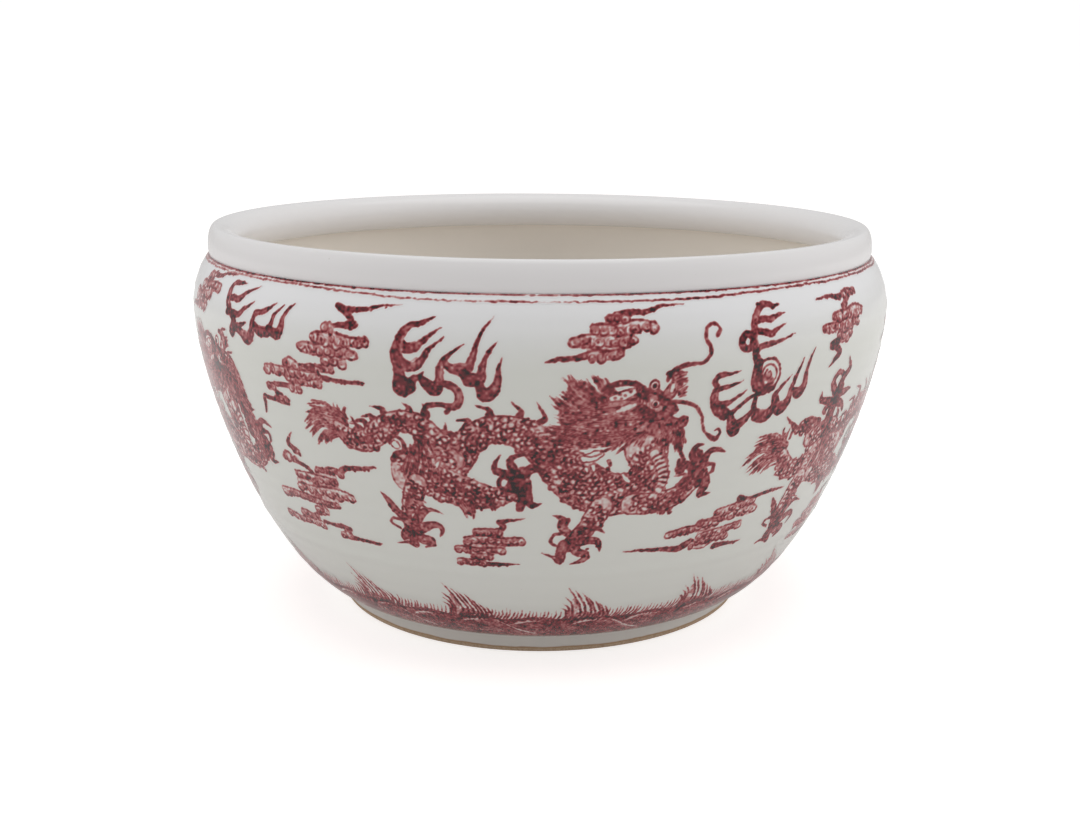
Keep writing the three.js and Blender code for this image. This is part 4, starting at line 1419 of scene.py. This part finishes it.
for turn in TURNS:
    chance = np.random.default_rng(7)
    place = Place(turn, 0, chance, LINE_HAND)
    steps = np.arange(-ROUND / 2, ROUND / 2 + 1, STROKE_STEP)
    upper = 0.75 + 0.4 * chance.random(len(steps)) - 0.3 * bell(steps, -10, 40)
    lower = 0.35 + 0.45 * chance.random(len(steps)) + 0.35 * smooth_step((steps - 14) / 12)
    lower = lower - 0.3 * bell(steps, 6, 9)
    for x, above, below in zip(steps, upper, lower):
        y = UPPER_LINE
        brush(place, [(x, y, 1.3), (x + 6, y + 0.1, 1.4), (x + 13, y, 1.3)], fill=above, build=0)
        y = LOWER_LINE + 2.0 * smooth_step((-60 - x) / 90) + 1.6 * smooth_step((x - 60) / 80)
        brush(place, [(x, y, 0.8), (x + 6, y, 1.0), (x + 13, y, 0.8)], fill=below, build=0)
print("ink laid on", round(100 * float((ink > 0.05).mean())), "% of the sheet")

# %% [markdown]
# Unevenness of brush, pigment and glaze
#
# No stroke runs true on a dry, thirsty body: the brush drags and stutters. Copper pigment never
# fires evenly either: it is thick and thin with the load of the brush, and the melting glaze
# carries it a little. So the sheet is sheared by a fraction of a millimetre in smooth random
# ways, its strength wanders over a few millimetres, and it is blurred slightly.

# %% Bleed and mottle
DRAG = 0.3  # mm by which strokes stutter
DRAG_GAP = 2.6  # mm from one stutter to the next
BLEED = 0.24  # mm by which the glaze carries the pigment
MOTTLE = 0.28  # share by which the ink's strength wanders
MOTTLE_SIZES = ((1.25, 1.2), (2.4, 0.6), (9.0, 0.4))  # mm across a mottle, and how strong it is
MOST_INK = 1.6


def wander(gap, seed):
    """Smooth random values about 0 over the sheet: random numbers on a grid gap mm wide, joined
    by 3t² - 2t³ between one and the next, along y and then along x."""
    chance = np.random.default_rng(seed)
    x = np.arange(ink.shape[1]) * cell_x / gap
    y = np.arange(ink.shape[0]) * cell_y / gap
    coarse = chance.normal(0, 1, (int(y[-1]) + 2, int(x[-1]) + 2))
    i, f = y.astype(int), smooth_step(y % 1)[:, None]
    coarse = coarse[i] * (1 - f) + coarse[i + 1] * f
    j, g = x.astype(int), smooth_step(x % 1)[None, :]
    return coarse[:, j] * (1 - g) + coarse[:, j + 1] * g


def sheared(sheet, across, up):
    """The sheet read at places shifted by across and up, in mm, mixed from the four grid points
    round each place."""
    c = np.clip(np.arange(sheet.shape[1])[None, :] + across / cell_x, 0, sheet.shape[1] - 1.001)
    r = np.clip(np.arange(sheet.shape[0])[:, None] + up / cell_y, 0, sheet.shape[0] - 1.001)
    i, j = r.astype(int), c.astype(int)
    f, g = r - i, c - j
    low = sheet[i, j] * (1 - g) + sheet[i, j + 1] * g
    high = sheet[i + 1, j] * (1 - g) + sheet[i + 1, j + 1] * g
    return low * (1 - f) + high * f


def blurred(sheet, reach):
    """The sheet blurred by a bell curve of that reach in mm, along each direction in turn."""
    steps = np.arange(-2, 3)
    weights = np.exp(-0.5 * (steps * CELL / reach) ** 2)
    weights /= weights.sum()
    for axis in (0, 1):
        sheet = sum(w * np.roll(sheet, s, axis=axis) for s, w in zip(steps, weights))
    return sheet


stutter = [DRAG * (wander(DRAG_GAP, 11 + k) + 0.6 * wander(DRAG_GAP / 2, 21 + k)) * 0.6 for k in (0, 1)]
mottle = sum(share * wander(size, 1 + k) for k, (size, share) in enumerate(MOTTLE_SIZES))
strength = np.exp(MOTTLE * mottle)
painted = np.clip(blurred(sheared(ink, *stutter), BLEED) * strength, 0, MOST_INK)
print("thickest ink", round(float(painted.max()), 2), "and on average", round(float(painted.mean()), 3))

# %% [markdown]
# Wrapping the painting round the wall
#
# The painting lies between body and glaze. It is made as thin sheets that follow the thrown
# surface 0.06 mm above it, only where there is ink. Each point keeps its ink as an attribute
# that the glaze's material reads, and where the ink ends the sheet has the glaze's own colour,
# so its edge doesn't show. The round is cut into seven lengths, so that no mesh grows too big,
# and the dragons, the border of waves and the neck lines are sheets of their own.

# %% Wrap
LIFT = 0.06  # mm above the wall
LEAST_INK = 0.03  # a square of the grid needs this much ink at a corner to be kept
turned_once = painted[:, margin_columns : margin_columns + columns + 1]
turned_once[:, -1] = turned_once[:, 0]
grid_angle = (-ROUND / 2 + cell_x * np.arange(columns + 1)) * UNIT / DRAWN_RADIUS
grid_run = np.minimum(DRAWN_FROM + UNIT * cell_y * np.arange(rows), WALL_LENGTH)


def painted_sheet(name, first, last, low, high):
    """The inked part of the sheet between two columns and two heights, as a mesh on the wall."""
    part = (slice(int(low / cell_y), min(int(high / cell_y), rows - 1) + 1), slice(first, last + 1))
    amount = turned_once[part]
    number, uv = squares(*amount.shape)
    kept = (amount.ravel()[number] > LEAST_INK).any(axis=1)
    a, s = np.meshgrid(grid_angle[part[1]], grid_run[part[0]])
    tall = np.ptp(s) / (np.ptp(a) * DRAWN_RADIUS)
    flat_map = uv[kept] * [1.0, min(tall, 1.0)]
    piece = make_piece(name, wall_points(a, s, LIFT), number[kept], flat_map, "glazed_porcelain")
    layer = piece.data.attributes.new("ink", "FLOAT", "POINT")
    layer.data.foreach_set("value", amount.ravel()[np.unique(number[kept])].astype(np.float32))
    return piece


WAVES_TOP = 60.0  # mm up the sheet, between the crests and the lowest claws
DRAGONS_TOP = 221.6  # mm up the sheet, between the flames and the neck lines
SECTORS = 7
LEVELS = {
    "dragons": (WAVES_TOP, DRAGONS_TOP),
    "waves": (0, WAVES_TOP),
    "neck_line": (DRAGONS_TOP, SHEET_HEIGHT),
}
paintings = []
cuts = np.linspace(0, columns, SECTORS + 1).astype(int)
for k, (first, last) in enumerate(zip(cuts, cuts[1:])):
    for name, levels in LEVELS.items():
        paintings.append(painted_sheet(f"painted_{name}_{k + 1}", first, last, *levels))

# %% [markdown]
# Finishes
#
# Porcelain glaze is a glass, clear and hard, over a white body. Fired in a smoky kiln it comes
# out faintly grey green. Here the wall is a lighter white on the shoulder and a darker grey green
# from there down: the grey green is the glaze's tint, and the step from light to dark is painted
# light on the shoulder and painted shade below it. Its surface isn't flat but gently dimpled, like
# the skin of an orange, which softens every reflection. Here and there a speck of iron burns
# through as a brown dot.

# %% Colour and node helpers
def colour(hex_value):
    """Linear colour from an sRGB hex value: below 0.04045 it is divided by 12.92, and above it
    is ((c + 0.055) / 1.055) to the power 2.4."""
    c = np.array([int(hex_value[k : k + 2], 16) for k in (1, 3, 5)]) / 255
    linear = np.where(c <= 0.04045, c / 12.92, ((c + 0.055) / 1.055) ** 2.4)
    return (*linear.tolist(), 1.0)


def add(tree, kind, settings=None, **inputs):
    """Adds a node. settings are its own properties, and inputs are values or other nodes'
    outputs for its sockets, by name, with a number for the socket where names repeat."""
    node = tree.nodes.new(kind)
    for key, value in (settings or {}).items():
        setattr(node, key, value)
    for key, value in inputs.items():
        socket = node.inputs[int(key[1:])] if key[0] == "_" else node.inputs[key.replace("_", " ")]
        if isinstance(value, bpy.types.NodeSocket):
            tree.links.new(value, socket)
        else:
            socket.default_value = value
    return node


def set_stops(node, stops):
    """Gives a colour ramp its (place, hex colour) pairs. Returns its colour."""
    points = node.color_ramp.elements
    for point, (place, value) in zip(points, (stops[0], stops[-1])):
        point.position, point.color = place, colour(value)
    for place, value in stops[1:-1]:
        points.new(place).color = colour(value)
    return node.outputs["Color"]


def new_tree(material):
    """The material's node tree, emptied."""
    material.use_nodes = True
    material.node_tree.nodes.clear()
    return material.node_tree


SMOOTH = {"interpolation_type": "SMOOTHSTEP"}
COLOURS = {"data_type": "RGBA"}
print("the glaze's white, linear:", [round(v, 3) for v in colour("#e3e3e4")[:3]])


# %% [markdown]
# Glazed porcelain with copper red under the glaze
#
# One material serves the body and the painting, so the two can't differ where they meet. It
# reads the ink as an attribute, which is 0 on the body. A ramp turns ink into what copper red
# does under a glaze: white, a grey pink wash, brick rose, maroon, and nearly black in a pool.
# Its glaze has an IOR of 1.5 as a glass, and a low roughness for the gloss.

# %% Painted glaze
DIMPLE = 6.0  # mm from one dimple of the glaze to the next
SPECK = 9.0  # mm between places where a speck of iron may sit
PER_METRE = 1000  # a texture's Scale counts its repeats in a metre
PAINTED_LIGHT_FROM, PAINTED_SHADE_FROM = 0.2, 0.165  # metres up: above the first the glaze is painted light for the lit shoulder, below the second painted shade
SPECK_COLOUR = "#8a7a62"
RED_STOPS = [  # what each level of ink fires to, from none to the most
    (0.0, "#d8d0cd"), (0.12, "#c89d9b"), (0.24, "#af6c6b"), (0.38, "#913a40"),
    (0.54, "#731d26"), (0.73, "#4c1219"), (0.92, "#200d0f"),
]


def glaze_material(name, white, thick, reads_ink):
    """The glaze over porcelain. white is its colour high on the body, painted light there for the lit
    shoulder, and thick its colour below the shoulder: the glaze's grey green tint, darker as painted shade."""
    material = bpy.data.materials.new(name)
    tree = new_tree(material)
    place = add(tree, "ShaderNodeTexCoord").outputs["Object"]
    height = add(tree, "ShaderNodeSeparateXYZ", Vector=place).outputs["Z"]
    noise = add(tree, "ShaderNodeTexNoise", Vector=place, Scale=9.0, Detail=3.0, Roughness=0.5)
    cloudy = noise.outputs["Fac"]
    # painted light on the shoulder above 0.2 m, and painted shade with the glaze's grey green tint below
    # 0.165 m
    low = add(tree, "ShaderNodeMapRange", SMOOTH, Value=height, From_Min=PAINTED_LIGHT_FROM, From_Max=PAINTED_SHADE_FROM)
    mixed = add(tree, "ShaderNodeMath", {"operation": "MULTIPLY_ADD"}, _0=cloudy, _1=0.5, _2=-0.25)
    adding = {"operation": "ADD", "use_clamp": True}
    share = add(tree, "ShaderNodeMath", adding, _0=low.outputs["Result"], _1=mixed.outputs["Value"])
    glaze = add(tree, "ShaderNodeValToRGB", Fac=share.outputs["Value"])
    lit_white_to_shaded_green = set_stops(glaze, [(0.0, white), (1.0, thick)])
    cell = add(tree, "ShaderNodeTexVoronoi", Vector=place, Scale=PER_METRE / SPECK, Randomness=1.0)
    away = cell.outputs["Distance"]
    near = add(tree, "ShaderNodeMapRange", SMOOTH, Value=away, From_Min=0.055, From_Max=0.025)
    rare = add(tree, "ShaderNodeSeparateColor", Color=cell.outputs["Color"]).outputs["Red"]
    seldom = add(tree, "ShaderNodeMapRange", Value=rare, From_Min=0.955, From_Max=0.96, To_Max=0.55)
    both = {"operation": "MULTIPLY"}
    speck = add(tree, "ShaderNodeMath", both, _0=near.outputs["Result"], _1=seldom.outputs["Result"])
    spotted = dict(_0=speck.outputs["Value"], _6=lit_white_to_shaded_green, _7=colour(SPECK_COLOUR))
    base = add(tree, "ShaderNodeMix", COLOURS, **spotted).outputs[2]
    if reads_ink:
        ink_here = add(tree, "ShaderNodeAttribute", {"attribute_name": "ink"}).outputs["Fac"]
        divided = add(tree, "ShaderNodeMath", {"operation": "DIVIDE"}, _0=ink_here, _1=MOST_INK)
        level = divided.outputs["Value"]
        red = set_stops(add(tree, "ShaderNodeValToRGB", Fac=level), RED_STOPS)
        cover = add(tree, "ShaderNodeMapRange", SMOOTH, Value=level, From_Min=0.01, From_Max=0.2)
        base = add(tree, "ShaderNodeMix", COLOURS, _0=cover.outputs["Result"], _6=base, _7=red).outputs[2]
    skin = add(tree, "ShaderNodeTexNoise", Vector=place, Scale=PER_METRE / DIMPLE, Detail=1.0)
    dimples = skin.outputs["Fac"]
    bump = add(tree, "ShaderNodeBump", Strength=0.12, Distance=0.0004, Height=dimples).outputs["Normal"]
    levels = dict(From_Min=0.3, From_Max=0.7, To_Min=0.1, To_Max=0.17)
    sheen = add(tree, "ShaderNodeMapRange", Value=cloudy, **levels)
    gloss = dict(Base_Color=base, Roughness=sheen.outputs["Result"], IOR=1.5, Normal=bump)
    shader = add(tree, "ShaderNodeBsdfPrincipled", **gloss)
    add(tree, "ShaderNodeOutputMaterial", Surface=shader.outputs["BSDF"])
    print(name, "has", len(tree.nodes), "nodes")
    return material


# the second colour, darker and grey green, is the glaze's tint and painted shade below the shoulder
painted_glaze = glaze_material("copper_red_under_glaze", "#e3e3e4", "#d6d7d1", True)
for piece in [body, *paintings]:
    piece.data.materials.append(painted_glaze)
rim.data.materials.append(glaze_material("rim_glaze", "#e1dfdf", "#e1dfdf", False))
body.data.materials.append(glaze_material("inside_glaze", "#e8e2da", "#e8e2da", False))
first_inside = (len(underside) + len(outer_grid) - 1) * TURN  # the faces from the top of the neck on
is_inside = np.arange(len(body.data.polygons)) >= first_inside
body.data.polygons.foreach_set("material_index", is_inside.astype(np.int32))

# %% [markdown]
# Glazed foot with a bare biscuit edge
#
# The foot is glazed white down to about 3 mm from the table, and below that the bare clay has
# toasted to a dull tan. A thin browner line marks where the glaze ends.

# %% Biscuit edge
LINE_FROM, GLAZE_FROM, GLAZE_FULL = 0.0013, 0.002, 0.003  # metres up, but for the line's unevenness
UNEVEN = 0.0016  # metres


def foot_material():
    """Glaze above, bare clay below an uneven line, and a toasted line between."""
    material = bpy.data.materials.new("biscuit_clay_and_glaze")
    tree = new_tree(material)
    place = add(tree, "ShaderNodeTexCoord").outputs["Object"]
    height = add(tree, "ShaderNodeSeparateXYZ", Vector=place).outputs["Z"]
    uneven = add(tree, "ShaderNodeTexNoise", Vector=place, Scale=60.0, Detail=3.0).outputs["Fac"]
    lowered = {"operation": "MULTIPLY_ADD"}
    line = add(tree, "ShaderNodeMath", lowered, _0=uneven, _1=-UNEVEN, _2=height).outputs["Value"]
    grain = add(tree, "ShaderNodeTexNoise", Vector=place, Scale=900.0, Detail=2.0).outputs["Fac"]
    clay_colour = set_stops(add(tree, "ShaderNodeValToRGB", Fac=grain), [(0.3, "#a88c72"), (0.7, "#bfa88f")])
    toast = add(tree, "ShaderNodeMapRange", SMOOTH, Value=line, From_Min=LINE_FROM, From_Max=GLAZE_FROM)
    toasted = dict(_0=toast.outputs["Result"], _6=clay_colour, _7=colour("#a58566"))
    edged = add(tree, "ShaderNodeMix", COLOURS, **toasted).outputs[2]
    above = add(tree, "ShaderNodeMapRange", SMOOTH, Value=line, From_Min=GLAZE_FROM, From_Max=GLAZE_FULL)
    glazed = above.outputs["Result"]
    base = add(tree, "ShaderNodeMix", COLOURS, _0=glazed, _6=edged, _7=colour("#d2cec8")).outputs[2]
    rough = add(tree, "ShaderNodeMapRange", Value=glazed, To_Min=0.75, To_Max=0.14).outputs["Result"]
    bump = add(tree, "ShaderNodeBump", Strength=0.2, Distance=0.0002, Height=grain).outputs["Normal"]
    shader = add(tree, "ShaderNodeBsdfPrincipled", Base_Color=base, Roughness=rough, IOR=1.5, Normal=bump)
    add(tree, "ShaderNodeOutputMaterial", Surface=shader.outputs["BSDF"])
    print("the foot's material has", len(tree.nodes), "nodes")
    return material


foot.data.materials.append(foot_material())

# %% [markdown]
# Floor and light
#
# The photograph's background is pure white with the faintest shadow under the foot, while the
# light on the basin is that of an ordinary white table: its lower half is dimmer than its
# shoulder. One floor can't be both, so there are two sheets. The camera sees the bright one,
# and the table, which the camera doesn't see, throws light back up at the basin.
#
# The light itself is very soft: the rim and shoulder are a little brighter than the wall, the
# two sides a little brighter than the front, and no lamp shows as a hard spot in the glaze. A
# pale world with one wide lamp overhead and one to each side does that, and on the shoulder the
# glaze's colour adds painted light.

# %% Stage
SWEEP_FLAT = 4.0  # metres to where the sweep starts to rise
SWEEP_EDGE = 10.0
TABLE_RISE = 0.03  # metres it rises by, for each metre past the flat, squared
BRIGHT_RISE = 0.1  # the same for the bright sheet, which has to fill the background
BELOW = 0.0006  # metres the table lies under the bright sheet
WORLD_LIGHT = 0.58


def sheet_of_floor(name, level, base, glow, rise):
    """A round sheet at a level, flat in the middle and rising towards its edge, r metres out by
    rise times (r - SWEEP_FLAT) squared. glow is the light it gives off by itself."""
    turns = np.linspace(0, 2 * np.pi, 96, endpoint=False)
    radii = np.concatenate([[0.02, 0.5, 1.0, 2.0], np.linspace(SWEEP_FLAT, SWEEP_EDGE, 13)])
    heights = level + rise * np.maximum(radii - SWEEP_FLAT, 0) ** 2
    ring = np.stack([np.cos(turns), np.sin(turns)], axis=1)
    rings = [np.column_stack([r * ring, np.full(len(turns), z)]) for r, z in zip(radii, heights)]
    places = np.concatenate(rings)
    number = np.arange(len(places)).reshape(len(radii), len(turns))
    beside = np.roll(number, -1, axis=1)
    faces = np.stack([number[:-1], number[1:], beside[1:], beside[:-1]], axis=-1).reshape(-1, 4).tolist()
    item = bpy.data.objects.new(name, bpy.data.meshes.new(name))
    item.data.from_pydata(places.tolist(), [], [*faces, number[0].tolist()])
    item.data.polygons.foreach_set("use_smooth", np.ones(len(item.data.polygons), bool))
    bpy.context.scene.collection.objects.link(item)
    paper = bpy.data.materials.new(name)
    tree = new_tree(paper)
    matt = dict(Base_Color=colour(base), Roughness=0.9)
    glowing = dict(Emission_Color=colour("#fffdfc"), Emission_Strength=glow)
    shader = add(tree, "ShaderNodeBsdfPrincipled", **matt, **glowing)
    add(tree, "ShaderNodeOutputMaterial", Surface=shader.outputs["BSDF"])
    item.data.materials.append(paper)
    return item


bright = sheet_of_floor("white_background", 0.0, "#c4c2c0", 0.7, BRIGHT_RISE)
bright.visible_diffuse = False
bright.visible_glossy = False
bright.visible_shadow = False
table = sheet_of_floor("white_table", -BELOW, "#dcdad9", 0.11, TABLE_RISE)
table.visible_camera = False

world = bpy.data.worlds.new("studio")
world.use_nodes = True
world.node_tree.nodes["Background"].inputs["Color"].default_value = (1.0, 1.0, 1.0, 1.0)
world.node_tree.nodes["Background"].inputs["Strength"].default_value = WORLD_LIGHT
bpy.context.scene.world = world


def lamp(name, place, target, width, height, power):
    """A rectangular soft lamp at a place in metres, turned to face a target."""
    light = bpy.data.lights.new(name, "AREA")
    light.shape = "RECTANGLE"
    light.size, light.size_y = width, height
    light.energy = power
    item = bpy.data.objects.new(name, light)
    item.location = place
    item.visible_glossy = place[0] == 0  # the side lamps don't show in the glaze
    item.rotation_euler = (Vector(target) - Vector(place)).to_track_quat("-Z", "Y").to_euler()
    bpy.context.scene.collection.objects.link(item)


lamp("overhead_lamp", (0, 0, 2.4), (0, 0, 0), 2.6, 2.6, 15.5)
lamp("left_lamp", (-2.4, 0, 1.3), (0, 0, 0.1), 2.4, 1.8, 19.0)
lamp("right_lamp", (2.4, 0, 1.3), (0, 0, 0.1), 2.4, 1.8, 24.0)
bpy.context.scene.view_settings.view_transform = "Standard"
print("sweep", SWEEP_EDGE, "metres in radius, three lamps")
